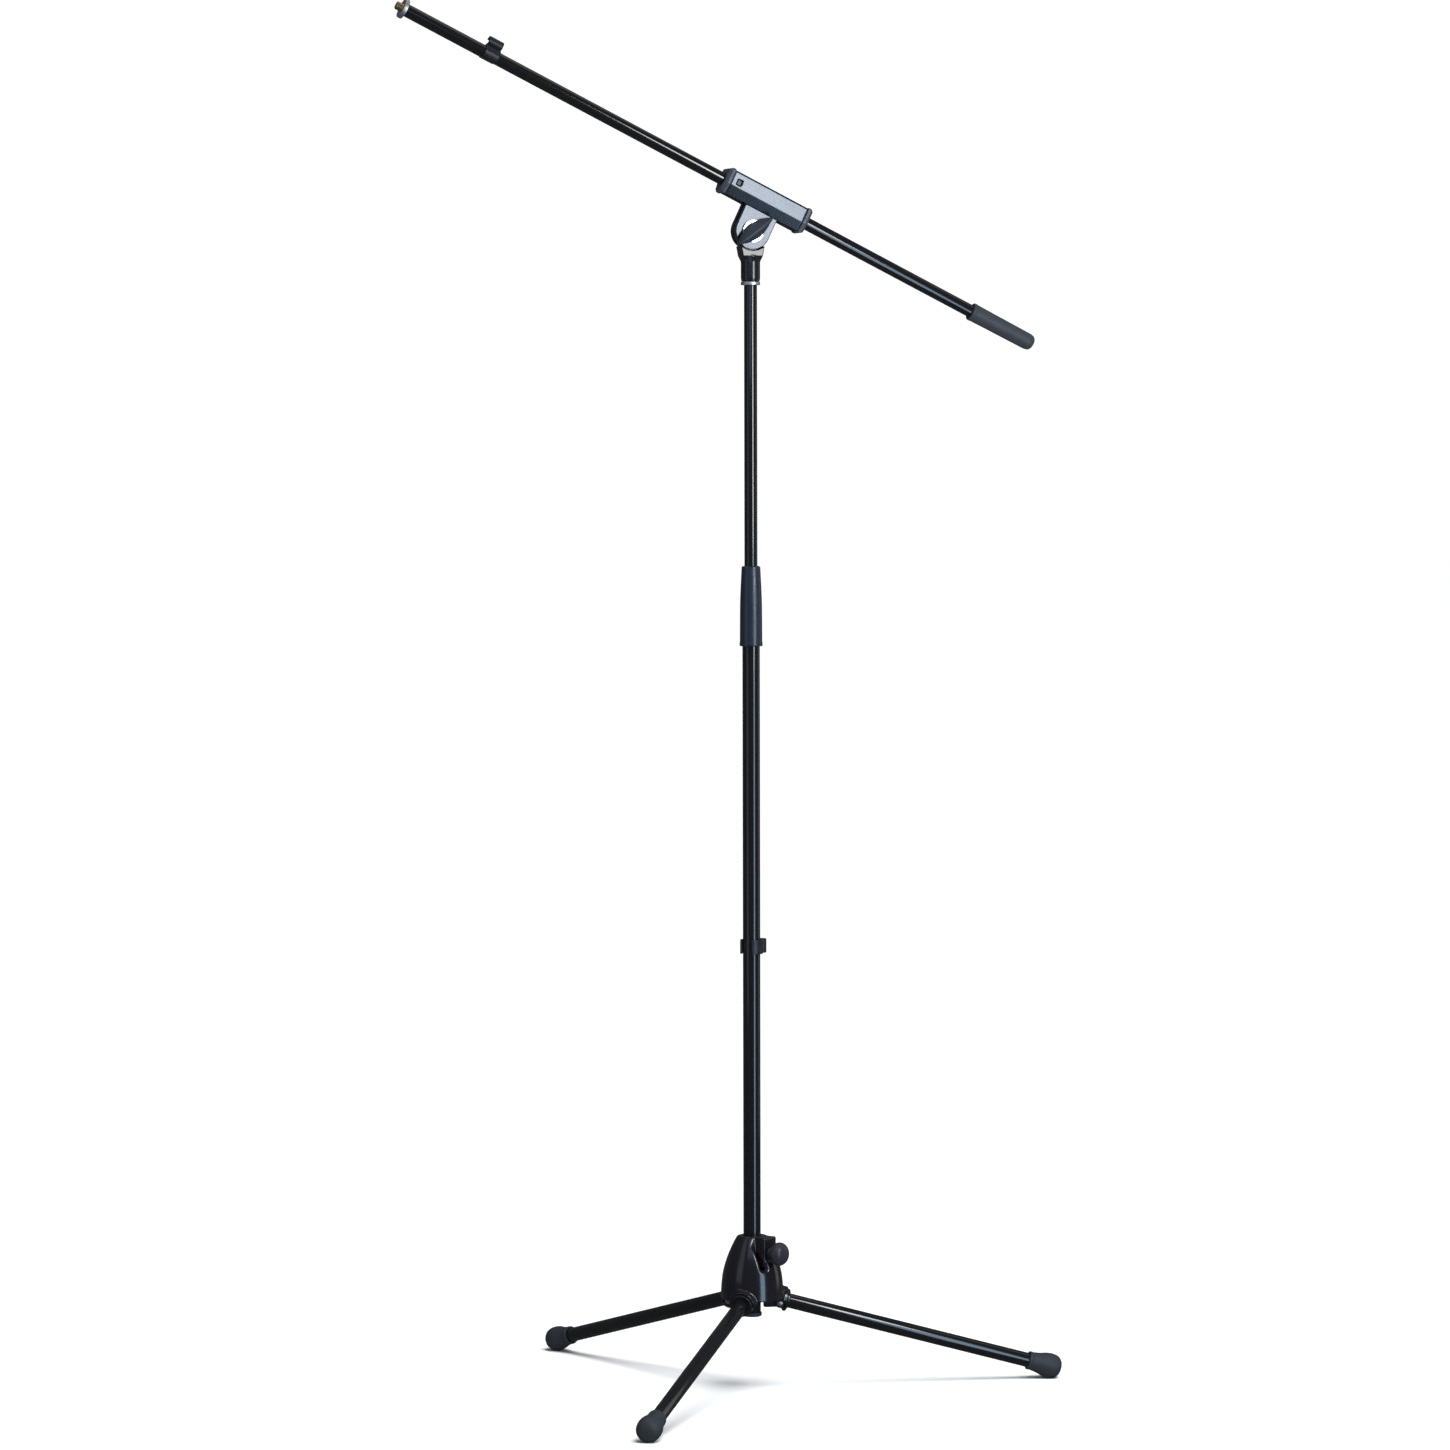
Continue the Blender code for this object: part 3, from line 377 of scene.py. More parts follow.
def turning_group():
    """Turning marks: fine rings along X, the length of a turned piece."""
    group = build_group(
        "Stand turning marks", {"Vector": None, "Rings": 9000.0, "Amount": 0.5}, ("Height", "Mask"))
    wiring = Wiring(group)
    source = wiring.node("NodeGroupInput")
    sink = wiring.node("NodeGroupOutput")
    squeeze = wiring.node("ShaderNodeVectorMath", operation="MULTIPLY")
    wiring.feed(squeeze.inputs[0], source.outputs["Vector"])
    scale = wiring.node("ShaderNodeCombineXYZ")
    wiring.feed(scale.inputs["X"], source.outputs["Rings"])
    wiring.feed(scale.inputs["Y"], 90.0)
    wiring.feed(scale.inputs["Z"], 90.0)
    wiring.feed(squeeze.inputs[1], scale.outputs[0])
    rings = wiring.noise(squeeze.outputs[0], 1.0, 2.0)
    wiring.feed(sink.inputs["Height"], wiring.math("MULTIPLY", rings, source.outputs["Amount"]))
    wiring.feed(sink.inputs["Mask"], rings)
    return group


GROUPS = {}


def shared_group(name):
    """The named shading group, built the first time that a finish asks for it."""
    makers = {
        "dust": dust_group, "smear": smear_group, "skin": skin_group, "edges": edge_group,
        "turning": turning_group,
    }
    if name not in GROUPS:
        GROUPS[name] = makers[name]()
    return GROUPS[name]


class Finish:
    """A Principled material with its pattern space on a place, and helpers to add the shared effects."""

    def __init__(self, name, where, roughness, metallic=0.0, coat=0.0, coat_roughness=0.05, specular=0.5):
        self.material = bpy.data.materials.new(name)
        self.material.use_nodes = True
        tree = self.material.node_tree
        self.wiring = Wiring(tree)
        self.shader = tree.nodes["Principled BSDF"]
        self.shader.inputs["Roughness"].default_value = roughness
        self.shader.inputs["Metallic"].default_value = metallic
        self.shader.inputs["Coat Weight"].default_value = coat
        self.shader.inputs["Coat Roughness"].default_value = coat_roughness
        self.shader.inputs["Specular IOR Level"].default_value = specular
        mapping = self.wiring.node("ShaderNodeMapping", vector_type="POINT")
        inverse = where.inverted()
        mapping.inputs["Location"].default_value = inverse.translation
        mapping.inputs["Rotation"].default_value = inverse.to_euler()
        self.wiring.feed(mapping.inputs["Vector"], self.wiring.node("ShaderNodeTexCoord").outputs["Object"])
        self.vector = mapping.outputs[0]

    def group(self, kind, **values):
        made = self.wiring.node("ShaderNodeGroup")
        made.node_tree = shared_group(kind)
        self.wiring.feed(made.inputs["Vector"], self.vector)
        for label, value in values.items():
            self.wiring.feed(made.inputs[label.replace("_", " ").title()], value)
        return made.outputs

    def colour(self, value):
        self.wiring.feed(self.shader.inputs["Base Color"], value)

    def roughness(self, value):
        self.wiring.feed(self.shader.inputs["Roughness"], value)

    def relief(self, height, distance, strength=1.0):
        bump = self.wiring.node("ShaderNodeBump")
        bump.inputs["Strength"].default_value = strength
        bump.inputs["Distance"].default_value = distance
        self.wiring.feed(bump.inputs["Height"], height)
        self.wiring.feed(self.shader.inputs["Normal"], bump.outputs["Normal"])


def solid_colour(colour, lift=1.0):
    return (*[min(1.0, channel * lift) for channel in colour], 1.0)


def enamel(name, colour, where, roughness=0.12, waves=0.05, dust=0.10, specular=0.5):
    """Gloss black enamel: flow of the sprayed coat, handling marks, dust and edges rubbed lighter."""
    finish = Finish(name, where, roughness, coat=0.25, coat_roughness=0.06, specular=specular)
    wiring = finish.wiring
    specks = finish.group("dust", amount=dust)["Mask"]
    smears = finish.group("smear", patches=0.25, scratches=0.25)
    skin = finish.group("skin", waves=waves, grain=0.02)
    edges = finish.group("edges", amount=0.35)["Mask"]
    tinted = wiring.mix_colour(skin["Grain"], solid_colour(colour, 0.75), solid_colour(colour, 1.35))
    rubbed = wiring.mix_colour(edges, tinted, solid_colour(colour, 4.0))
    finish.colour(wiring.mix_colour(specks, rubbed, (0.16, 0.155, 0.15, 1.0)))
    dulled = wiring.ramp(smears["Mask"], 0.0, 1.0, roughness, roughness + 0.12)
    finish.roughness(wiring.math("ADD", dulled, wiring.math("MULTIPLY", specks, 0.4), clamp=True))
    scratched = wiring.math("MULTIPLY", smears["Height"], 0.1)
    finish.relief(wiring.math("ADD", skin["Height"], scratched), 0.00004, 0.7)
    return finish.material


def satin(name, colour, where, roughness=0.27, metallic=0.9):
    """Satin metallic enamel: fine sparkle grain, soft smears and edges worn bright."""
    finish = Finish(name, where, roughness, metallic=metallic, coat=0.10, coat_roughness=0.25)
    wiring = finish.wiring
    specks = finish.group("dust", amount=0.15)["Mask"]
    smears = finish.group("smear", patches=0.25, scratches=0.5)
    skin = finish.group("skin", wave_scale=500.0, waves=0.4, grain_scale=4200.0, grain=0.55)
    edges = finish.group("edges", amount=0.85)["Mask"]
    tinted = wiring.mix_colour(skin["Grain"], solid_colour(colour, 0.70), solid_colour(colour, 1.40))
    worn = wiring.mix_colour(edges, tinted, solid_colour(colour, 4.5))
    finish.colour(wiring.mix_colour(specks, worn, (0.20, 0.20, 0.20, 1.0)))
    finish.roughness(wiring.ramp(smears["Mask"], 0.0, 1.0, roughness - 0.02, roughness + 0.08))
    scratched = wiring.math("MULTIPLY", smears["Height"], 0.2)
    finish.relief(wiring.math("ADD", skin["Height"], scratched), 0.00002, 0.6)
    return finish.material


def moulded(name, colour, where, roughness=0.50, grain=0.8, grain_scale=3000.0, dust=0.2, specular=0.5):
    """Moulded plastic or rubber: fine spark grain, paler scuffs on the edges, dust in the grain."""
    finish = Finish(name, where, roughness, specular=specular)
    wiring = finish.wiring
    specks = finish.group("dust", amount=dust)["Mask"]
    smears = finish.group("smear", patch_scale=55.0, patches=0.5, scratches=0.6)
    skin = finish.group("skin", wave_scale=420.0, waves=0.35, grain_scale=grain_scale, grain=grain)
    edges = finish.group("edges", amount=0.45, break_scale=900.0)["Mask"]
    tinted = wiring.mix_colour(skin["Grain"], solid_colour(colour, 0.65), solid_colour(colour, 1.45))
    scuffed = wiring.mix_colour(edges, tinted, solid_colour(colour, 3.2))
    finish.colour(wiring.mix_colour(specks, scuffed, (0.17, 0.165, 0.16, 1.0)))
    finish.roughness(wiring.ramp(smears["Mask"], 0.0, 1.0, roughness - 0.06, min(0.98, roughness + 0.16)))
    finish.relief(wiring.math("ADD", skin["Height"], smears["Height"]), 0.00009, 0.8)
    return finish.material


def bare_metal(name, colour, where, roughness=0.25, rings=9000.0, marks=0.6, tarnish=0.25):
    """Turned or plated metal: rings from the lathe, cloudy tarnish and bright rubbed edges."""
    finish = Finish(name, where, roughness, metallic=1.0)
    wiring = finish.wiring
    turning = finish.group("turning", rings=rings, amount=marks)
    smears = finish.group("smear", patch_scale=120.0, patches=0.6, scratches=0.5)
    skin = finish.group("skin", wave_scale=300.0, waves=0.2, grain_scale=1500.0, grain=0.2)
    edges = finish.group("edges", amount=0.6)["Mask"]
    tinted = wiring.mix_colour(turning["Mask"], solid_colour(colour, 0.86), solid_colour(colour, 1.08))
    cloud = wiring.math("MULTIPLY", smears["Mask"], tarnish)
    dulled = wiring.mix_colour(cloud, tinted, solid_colour(colour, 0.35))
    finish.colour(wiring.mix_colour(edges, dulled, solid_colour(colour, 1.3)))
    finish.roughness(wiring.ramp(smears["Mask"], 0.0, 1.0, roughness, roughness + 0.22))
    finish.relief(wiring.math("ADD", turning["Height"], skin["Height"]), 0.00004, 0.7)
    return finish.material


# ---------------------------------------------------------------- pieces

def detail():
    return bpy.context.scene.stand_detail


def colours():
    return bpy.context.scene.stand_finish


def finish_mesh(mesh, sharp=40.0):
    mesh.validate()
    mesh.shade_smooth()
    mesh.set_sharp_from_angle(angle=math.radians(sharp))
    return mesh


def add_piece(node, mesh, material, sharp=40.0):
    """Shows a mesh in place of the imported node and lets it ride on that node's body."""
    finish_mesh(mesh, sharp)
    mesh.materials.clear()
    mesh.materials.append(material)
    obj = bpy.data.objects.new(f"{node}_surface", mesh)
    bpy.context.scene.collection.objects.link(obj)
    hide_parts(node)
    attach(obj, BODY_OF[node])
    return obj


def new_mesh(name, points, faces):
    mesh = bpy.data.meshes.new(name)
    mesh.from_pydata([tuple(point) for point in points], [], [tuple(face) for face in faces])
    mesh.update()
    return mesh


# Turned pieces

def rounded(profile, steps=4):
    """Profile of (along, radius, round) with each corner drawn as a small curve of that size."""
    points = [np.array(corner[:2], float) for corner in profile]
    rounds = [corner[2] if len(corner) > 2 else 0.0 for corner in profile]
    path = []
    for index, point in enumerate(points):
        size = rounds[index]
        before = points[index - 1]
        after = points[(index + 1) % len(points)]
        if size <= 0:
            path.append(tuple(point))
            continue
        back = before - point
        ahead = after - point
        size_back = min(size, np.linalg.norm(back) * 0.49)
        size_ahead = min(size, np.linalg.norm(ahead) * 0.49)
        start = point + back / np.linalg.norm(back) * size_back
        stop = point + ahead / np.linalg.norm(ahead) * size_ahead
        for step in range(steps + 1):
            t = step / steps
            path.append(tuple((1 - t) ** 2 * start + 2 * t * (1 - t) * point + t * t * stop))
    return path


def spline(points, steps=6):
    """Smooth curve through a few points."""
    knots = [np.array(point, float) for point in points]
    knots = [2 * knots[0] - knots[1], *knots, 2 * knots[-1] - knots[-2]]
    path = []
    for index in range(1, len(knots) - 2):
        a, b, c, d = knots[index - 1:index + 3]
        for step in range(steps):
            t = step / steps
            path.append(tuple(0.5 * (2 * b + (c - a) * t + (2 * a - 5 * b + 4 * c - d) * t ** 2
                                     + (3 * b - a - 3 * c + d) * t ** 3)))
    path.append(tuple(knots[-2]))
    return path


def turned(name, path, where, sides=None):
    """Closed outline of (along, radius), turned about the place's X axis; radius 0 makes a pole."""
    sides = sides or detail().sides
    axis = 1e-7
    rings = []
    points = []
    for along, radius in path:
        if radius <= axis:
            rings.append([len(points)])
            points.append((along, 0.0, 0.0))
            continue
        rings.append(list(range(len(points), len(points) + sides)))
        for side in range(sides):
            angle = 2 * math.pi * side / sides
            points.append((along, radius * math.cos(angle), radius * math.sin(angle)))
    faces = []
    for first, second in zip(rings, rings[1:] + rings[:1]):
        if len(first) == 1 and len(second) == 1:
            continue
        for side in range(sides):
            after = (side + 1) % sides
            if len(first) == 1:
                faces.append((first[0], second[side], second[after]))
            elif len(second) == 1:
                faces.append((first[side], second[0], first[after]))
            else:
                faces.append((first[side], second[side], second[after], first[after]))
    mesh = new_mesh(name, points, faces)
    outline = np.array(path)
    area = np.sum(outline[:, 0] * np.roll(outline[:, 1], -1) - np.roll(outline[:, 0], -1) * outline[:, 1])
    if area > 0:
        mesh.flip_normals()
    mesh.transform(where)
    return mesh


def tube_path(start, stop, outer, inner, edge):
    return rounded([(start, inner, edge), (start, outer, edge), (stop, outer, edge), (stop, inner, edge)])


# Cast and moulded pieces: a field is below zero inside the piece

def smooth_max(a, b, size):
    mix = np.clip(0.5 - 0.5 * (b - a) / size, 0, 1)
    return b + (a - b) * mix + size * mix * (1 - mix)


def smooth_min(a, b, size):
    return -smooth_max(-a, -b, size)


def without(a, b, size):
    """The field a with the shape b taken out of it."""
    return smooth_max(a, -b, size)


def slab(values, low, high):
    return np.abs(values - (low + high) / 2) - (high - low) / 2


def block(points, low, high, edge=0.0):
    """Box with rounded edges."""
    middle = (np.array(low) + np.array(high)) / 2
    half = (np.array(high) - np.array(low)) / 2 - edge
    away = np.abs(points - middle) - half
    outside = np.linalg.norm(np.maximum(away, 0), axis=1)
    return outside + np.minimum(away.max(axis=1), 0) - edge


def drum(around, along, radius, low, high, edge=0.0):
    """Cylinder with rounded rims, from distances around and along its axis."""
    away = np.stack((around - radius + edge, slab(along, low, high) + edge), axis=1)
    outside = np.linalg.norm(np.maximum(away, 0), axis=1)
    return outside + np.minimum(away.max(axis=1), 0) - edge


def outline_field(x, y, corners):
    """Signed distance to a closed outline."""
    best = np.full(x.shape, np.inf)
    sign = np.ones(x.shape)
    for (x0, y0), (x1, y1) in zip(corners, corners[1:] + corners[:1]):
        ex, ey = x1 - x0, y1 - y0
        wx, wy = x - x0, y - y0
        t = np.clip((wx * ex + wy * ey) / (ex * ex + ey * ey), 0, 1)
        best = np.minimum(best, (wx - ex * t) ** 2 + (wy - ey * t) ** 2)
        above = y >= y0
        below = y < y1
        left = ex * wy > ey * wx
        sign = np.where((above & below & left) | (~above & ~below & ~left), -sign, sign)
    return sign * np.sqrt(best)


def plate(flat, across, low, high, edge=0.0):
    """Outline field given thickness from low to high, with rounded edges."""
    away = np.stack((flat + edge, slab(across, low, high) + edge), axis=1)
    outside = np.linalg.norm(np.maximum(away, 0), axis=1)
    return outside + np.minimum(away.max(axis=1), 0) - edge


def arc(radius, first, last, steps, centre=(0.0, 0.0)):
    """Points on a circle from one angle to the other, in degrees."""
    angles = np.radians(np.linspace(first, last, steps + 1))
    return [(centre[0] + radius * math.cos(a), centre[1] + radius * math.sin(a)) for a in angles]


def cast(name, field, low, high, where, step=None):
    """Mesh of the surface where a field is zero, inside the box low..high of a place."""
    step = step or detail().grid
    low = np.array(low, float) - 2 * step
    high = np.array(high, float) + 2 * step
    axes = [np.arange(a, b + step, step) for a, b in zip(low, high)]
    counts = [len(axis) for axis in axes]
    values = np.empty(counts, np.float32)
    for index, x in enumerate(axes[0]):
        y, z = np.meshgrid(axes[1], axes[2], indexing="ij")
        points = np.stack((np.full(y.size, x), y.ravel(), z.ravel()), axis=1)
        values[index] = field(points).reshape(y.shape)
    inside = values < 0
    cells = [count - 1 for count in counts]
    corners = [(i, j, k) for i in (0, 1) for j in (0, 1) for k in (0, 1)]

    def corner(data, offset):
        return data[tuple(slice(start, start + count) for start, count in zip(offset, cells))]

    filled = sum(corner(inside, offset).astype(np.int8) for offset in corners)
    mixed = (filled > 0) & (filled < 8)
    where_mixed = np.argwhere(mixed)
    index = np.full(cells, -1, np.int64)
    index[mixed] = np.arange(len(where_mixed))
    total = np.zeros((len(where_mixed), 3))
    hits = np.zeros(len(where_mixed))
    for first in corners:
        for axis in range(3):
            if first[axis]:
                continue
            second = tuple(1 if a == axis else first[a] for a in range(3))
            a = corner(values, first)[mixed]
            b = corner(values, second)[mixed]
            crossed = (a < 0) != (b < 0)
            share = np.where(crossed, a / np.where(crossed, a - b, 1), 0)
            spot = np.array(first, float) + np.zeros((len(a), 3))
            spot[:, axis] += share
            total += spot * crossed[:, None]
            hits += crossed
    points = low + (where_mixed + total / hits[:, None]) * step
    faces = []
    for axis in range(3):
        one, two = [(1, 2), (2, 0), (0, 1)][axis]
        length = [slice(0, count) for count in counts]
        here = list(length)
        there = list(length)
        here[axis] = slice(0, counts[axis] - 1)
        there[axis] = slice(1, counts[axis])
        crossed = np.argwhere(inside[tuple(here)] != inside[tuple(there)])
        outwards = inside[tuple(crossed.T)]
        ring = []
        for back_one, back_two in ((1, 1), (0, 1), (0, 0), (1, 0)):
            cell = crossed.copy()
            cell[:, one] -= back_one
            cell[:, two] -= back_two
            ring.append(index[tuple(cell.T)])
        quads = np.stack(ring, axis=1)
        quads[~outwards] = quads[~outwards][:, ::-1]
        faces.append(quads)
    faces = np.concatenate(faces)
    points = settle(points, faces, field, step)
    mesh = bpy.data.meshes.new(name)
    mesh.vertices.add(len(points))
    mesh.vertices.foreach_set("co", points.ravel())
    mesh.loops.add(faces.size)
    mesh.loops.foreach_set("vertex_index", faces.ravel())
    mesh.polygons.add(len(faces))
    mesh.polygons.foreach_set("loop_start", np.arange(0, faces.size, 4))
    mesh.update(calc_edges=True)
    mesh.transform(where)
    return mesh


def settle(points, faces, field, step, rounds=3):
    """Evens out the points of a cast mesh and draws each onto the true surface."""
    neighbours = np.concatenate((faces[:, (0, 1)], faces[:, (1, 2)], faces[:, (2, 3)], faces[:, (3, 0)]))
    probe = step * 0.1
    for turn in range(rounds):
        if turn:
            total = np.zeros_like(points)
            hits = np.zeros(len(points))
            for a, b in ((0, 1), (1, 0)):
                np.add.at(total, neighbours[:, a], points[neighbours[:, b]])
                np.add.at(hits, neighbours[:, a], 1)
            points = points + 0.5 * (total / hits[:, None] - points)
        for _ in range(2):
            value = field(points)
            slope = np.empty_like(points)
            for axis in range(3):
                offset = np.zeros(3)
                offset[axis] = probe
                slope[:, axis] = (field(points + offset) - field(points - offset)) / (2 * probe)
            steep = np.maximum(np.sum(slope ** 2, axis=1), 0.05)
            move = slope * (value / steep)[:, None]
            length = np.linalg.norm(move, axis=1)
            points = points - move * np.minimum(1, 0.6 * step / np.maximum(length, 1e-12))[:, None]
    return points


# Threads

def thread_tree():
    """Screw thread along Z: a ridge on a helix round a core."""
    tree = bpy.data.node_groups.new("Stand thread", "GeometryNodeTree")
    inputs = (
        ("Core Radius", "NodeSocketFloat", 0.004), ("Ridge", "NodeSocketFloat", 0.0006),
        ("Length", "NodeSocketFloat", 0.01), ("Turns", "NodeSocketFloat", 6.0),
        ("Sides", "NodeSocketInt", 40), ("Material", "NodeSocketMaterial", None),
    )
    for label, kind, default in inputs:
        socket = tree.interface.new_socket(label, in_out="INPUT", socket_type=kind)
        if default is not None:
            socket.default_value = default
    tree.interface.new_socket("Geometry", in_out="OUTPUT", socket_type="NodeSocketGeometry")
    wiring = Wiring(tree)
    source = wiring.node("NodeGroupInput")
    sink = wiring.node("NodeGroupOutput")
    helix = wiring.node("GeometryNodeCurveSpiral")
    wiring.feed(helix.inputs["Resolution"], source.outputs["Sides"])
    wiring.feed(helix.inputs["Rotations"], source.outputs["Turns"])
    wiring.feed(helix.inputs["Start Radius"], source.outputs["Core Radius"])
    wiring.feed(helix.inputs["End Radius"], source.outputs["Core Radius"])
    wiring.feed(helix.inputs["Height"], source.outputs["Length"])
    upright = wiring.node("GeometryNodeSetCurveNormal", mode="Z_UP")
    wiring.feed(upright.inputs[0], helix.outputs[0])
    section = wiring.node("GeometryNodeCurvePrimitiveCircle", mode="RADIUS")
    section.inputs["Resolution"].default_value = 4
    wiring.feed(section.inputs["Radius"], source.outputs["Ridge"])
    ridge = wiring.node("GeometryNodeCurveToMesh")
    wiring.feed(ridge.inputs["Curve"], upright.outputs[0])
    wiring.feed(ridge.inputs["Profile Curve"], section.outputs[0])
    ridge.inputs["Fill Caps"].default_value = True
    joined = wiring.node("GeometryNodeRealizeInstances")
    wiring.feed(joined.inputs[0], ridge.outputs[0])
    painted = wiring.node("GeometryNodeSetMaterial")
    wiring.feed(painted.inputs["Geometry"], joined.outputs[0])
    wiring.feed(painted.inputs["Material"], source.outputs["Material"])
    wiring.feed(sink.inputs[0], painted.outputs[0])
    return tree


def socket_id(tree, label):
    return next(item.identifier for item in tree.interface.items_tree if item.name == label)


def thread_ridge(name, where, radius, depth, start, stop, pitch, material):
    """Helical ridge from start to stop along a place's X axis, as a plain mesh."""
    tree = bpy.data.node_groups.get("Stand thread") or thread_tree()
    carrier = bpy.data.objects.new(name, bpy.data.meshes.new(name))
    bpy.context.scene.collection.objects.link(carrier)
    modifier = carrier.modifiers.new("Thread", "NODES")
    modifier.node_group = tree
    values = {
        "Core Radius": radius - depth, "Ridge": depth, "Length": stop - start,
        "Turns": (stop - start) / pitch, "Sides": 40, "Material": material,
    }
    for label, value in values.items():
        modifier[socket_id(tree, label)] = value
    carrier.update_tag()
    evaluated = carrier.evaluated_get(bpy.context.evaluated_depsgraph_get())
    mesh = bpy.data.meshes.new_from_object(evaluated)
    bpy.data.objects.remove(carrier)
    mesh.transform(where @ Matrix.Translation((start, 0, 0)) @ Matrix.Rotation(math.pi / 2, 4, "Y"))
    return mesh


def joined(first, second):
    """Adds a second mesh's faces to a first mesh."""
    both = bmesh.new()
    both.from_mesh(first)
    both.from_mesh(second)
    both.to_mesh(first)
    both.free()
    return first


def threaded_rod(name, where, radius, start, stop, pitch, material, chamfer=0.0006):
    """Rod with a thread all along it and chamfered ends."""
    depth = pitch * 0.32
    core = radius - depth
    ends = rounded([
        (start, 0.0), (start, core - chamfer, 0.0002), (start + chamfer, core, 0.0002),
        (stop - chamfer, core, 0.0002), (stop, core - chamfer, 0.0002), (stop, 0.0),
    ])
    mesh = turned(name, ends, where, 64)
    ridge = thread_ridge(
        name + "_ridge", where, radius, depth, start + chamfer, stop - chamfer, pitch, material)
    return joined(mesh, ridge)


def hexagon(x, y, across):
    """Distance to a hexagon of this width across its flats."""
    flats = [x * math.cos(a) + y * math.sin(a) for a in np.radians((30, 90, 150))]
    return np.max(np.abs(flats), axis=0) - across / 2


def nut(name, where, corner_radius, start, stop, bore):
    """Hexagon nut with chamfered corners and a chamfered bore."""
    across = corner_radius * math.sqrt(3)
    chamfer = corner_radius - across / 2

    def field(p):
        around = np.hypot(p[:, 1], p[:, 2])
        body = smooth_max(hexagon(p[:, 1], p[:, 2], across), slab(p[:, 0], start, stop), 0.0002)
        cone = (around - corner_radius + slab(p[:, 0], start, stop) * 1.7 + chamfer) * 0.5
        body = smooth_max(body, cone, 0.0002)
        return without(body, around - bore, 0.0003)

    reach = corner_radius + 0.0005
    return cast(name, field, (start, -reach, -reach), (stop, reach, reach), where, step=0.00028)


# ---------------------------------------------------------------- base

BELL_OUTSIDE = (
    (0.0993, 0.03455), (0.1130, 0.0340), (0.1270, 0.0325), (0.1400, 0.0293),
    (0.1528, 0.0245), (0.1624, 0.0200), (0.1690, 0.0163), (0.1720, 0.0148),
)
BELL_INSIDE = (
    (0.0960, 0.0311), (0.1120, 0.0300), (0.1270, 0.0280), (0.1400, 0.0235),
    (0.1490, 0.0175), (0.1520, 0.0140),
)
BELL_TOP = 0.1695
BELL_RIM = 0.1000


class StandBaseCasting(bpy.types.Operator):
    """Makes the bell-shaped base casting with its hoods, lugs and clamp boss"""

    bl_idname = "stand.base_casting"
    bl_label = "Base casting"

    def execute(self, context):
        low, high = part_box("base_casting")
        centre = Vector((COLUMN_X, COLUMN_Y, 0))
        mesh = cast("base_casting", self.field, low - centre, high - centre,
                    Matrix.Translation(centre), detail().grid * 1.35)
        material = enamel("Base enamel", colours().casting, COLUMN, 0.17, waves=0.5, dust=0.15)
        add_piece("base_casting", mesh, material, 60)
        return {"FINISHED"}

    def field(self, p):
        around = np.hypot(p[:, 0], p[:, 1])
        height = p[:, 2]
        body = self.bell(around, height)
        world = p + np.array((COLUMN_X, COLUMN_Y, 0))
        legs = {side: local(world, LEG[side]) for side in SIDES}
        for side in SIDES:
            body = self.hood(body, legs[side])
        body = without(body, np.maximum(around - 0.0098, slab(height, 0.08, 0.2)), 0.0006)
        for side in SIDES:
            body = self.lug(body, legs[side])
        return self.boss(body, local(world, BASE_CLAMP))

    @staticmethod
    def bell(around, height):
        outside = np.array(spline(BELL_OUTSIDE, 8))
        inside = np.array(spline(BELL_INSIDE, 8))
        skin = (around - np.interp(height, outside[:, 0], outside[:, 1])) * 0.85
        body = smooth_max(skin, height - BELL_TOP, 0.0022)
        body = smooth_max(body, BELL_RIM - height, 0.0008)
        hollow = (around - np.interp(height, inside[:, 0], inside[:, 1])) * 0.85
        hollow = smooth_max(hollow, height - 0.1505, 0.002)
        body = without(body, hollow, 0.0008)
        hub = np.maximum(around - 0.0140, slab(height, 0.0970, 0.16))
        return smooth_min(body, hub, 0.002)

    @staticmethod
    def hood(body, p):
        x, y, z = p[:, 0], p[:, 1], p[:, 2]
        ring = drum(np.hypot(y, z - LEG_AXIS_RISE), x, 0.0145, -0.008, 0.0054, 0.0006)
        ring = smooth_max(ring, 0.0010 - z, 0.0006)
        body = smooth_min(body, ring, 0.0022)
        slot = block(p, (-0.0125, -0.0110, -0.03), (0.02, 0.0110, 0.0085), 0.0010)
        return without(body, slot, 0.0006)

    @staticmethod
    def lug(body, p):
        x, y, z = p[:, 0], p[:, 1], p[:, 2]
        cosine, sine = math.cos(LEG_SLOPE), math.sin(LEG_SLOPE)
        level_x = x * cosine + z * sine
        level_z = z * cosine - x * sine
        corners = [(-0.017, 0.017), (-0.017, -0.0053), (0.0, -0.0053)]
        corners += arc(0.0053, -80, 0, 6)
        corners += [(0.0030, 0.012), (0.0010, 0.017)]
        web = plate(outline_field(level_x, level_z, corners), y, -0.0040, 0.0040, 0.0006)
        hole = np.hypot(x, z) - 0.0028
        return without(smooth_min(body, web, 0.0007), hole, 0.0003)

    @staticmethod
    def boss(body, p):
        x, y, z = p[:, 0], p[:, 1], p[:, 2]
        face = 0.0254
        top = BELL_TOP - BASE_CLAMP.translation.z - 0.0004
        lump = block(p, (0.0118, -0.0107, -0.0150), (face, 0.0107, top), 0.0016)
        groove = block(p, (0.0135, -0.0152, -0.0170), (0.04, -0.0109, 0.03), 0.0009)
        body = without(body, groove, 0.0050)
        body = smooth_min(body, lump, 0.0010)
        around = np.hypot(y, z)
        landing = drum(around, x, 0.0098, face, 0.05, 0.0002)
        body = without(body, landing, 0.0004)
        return without(body, np.maximum(around - 0.0042, slab(x, 0.006, 0.04)), 0.0003)


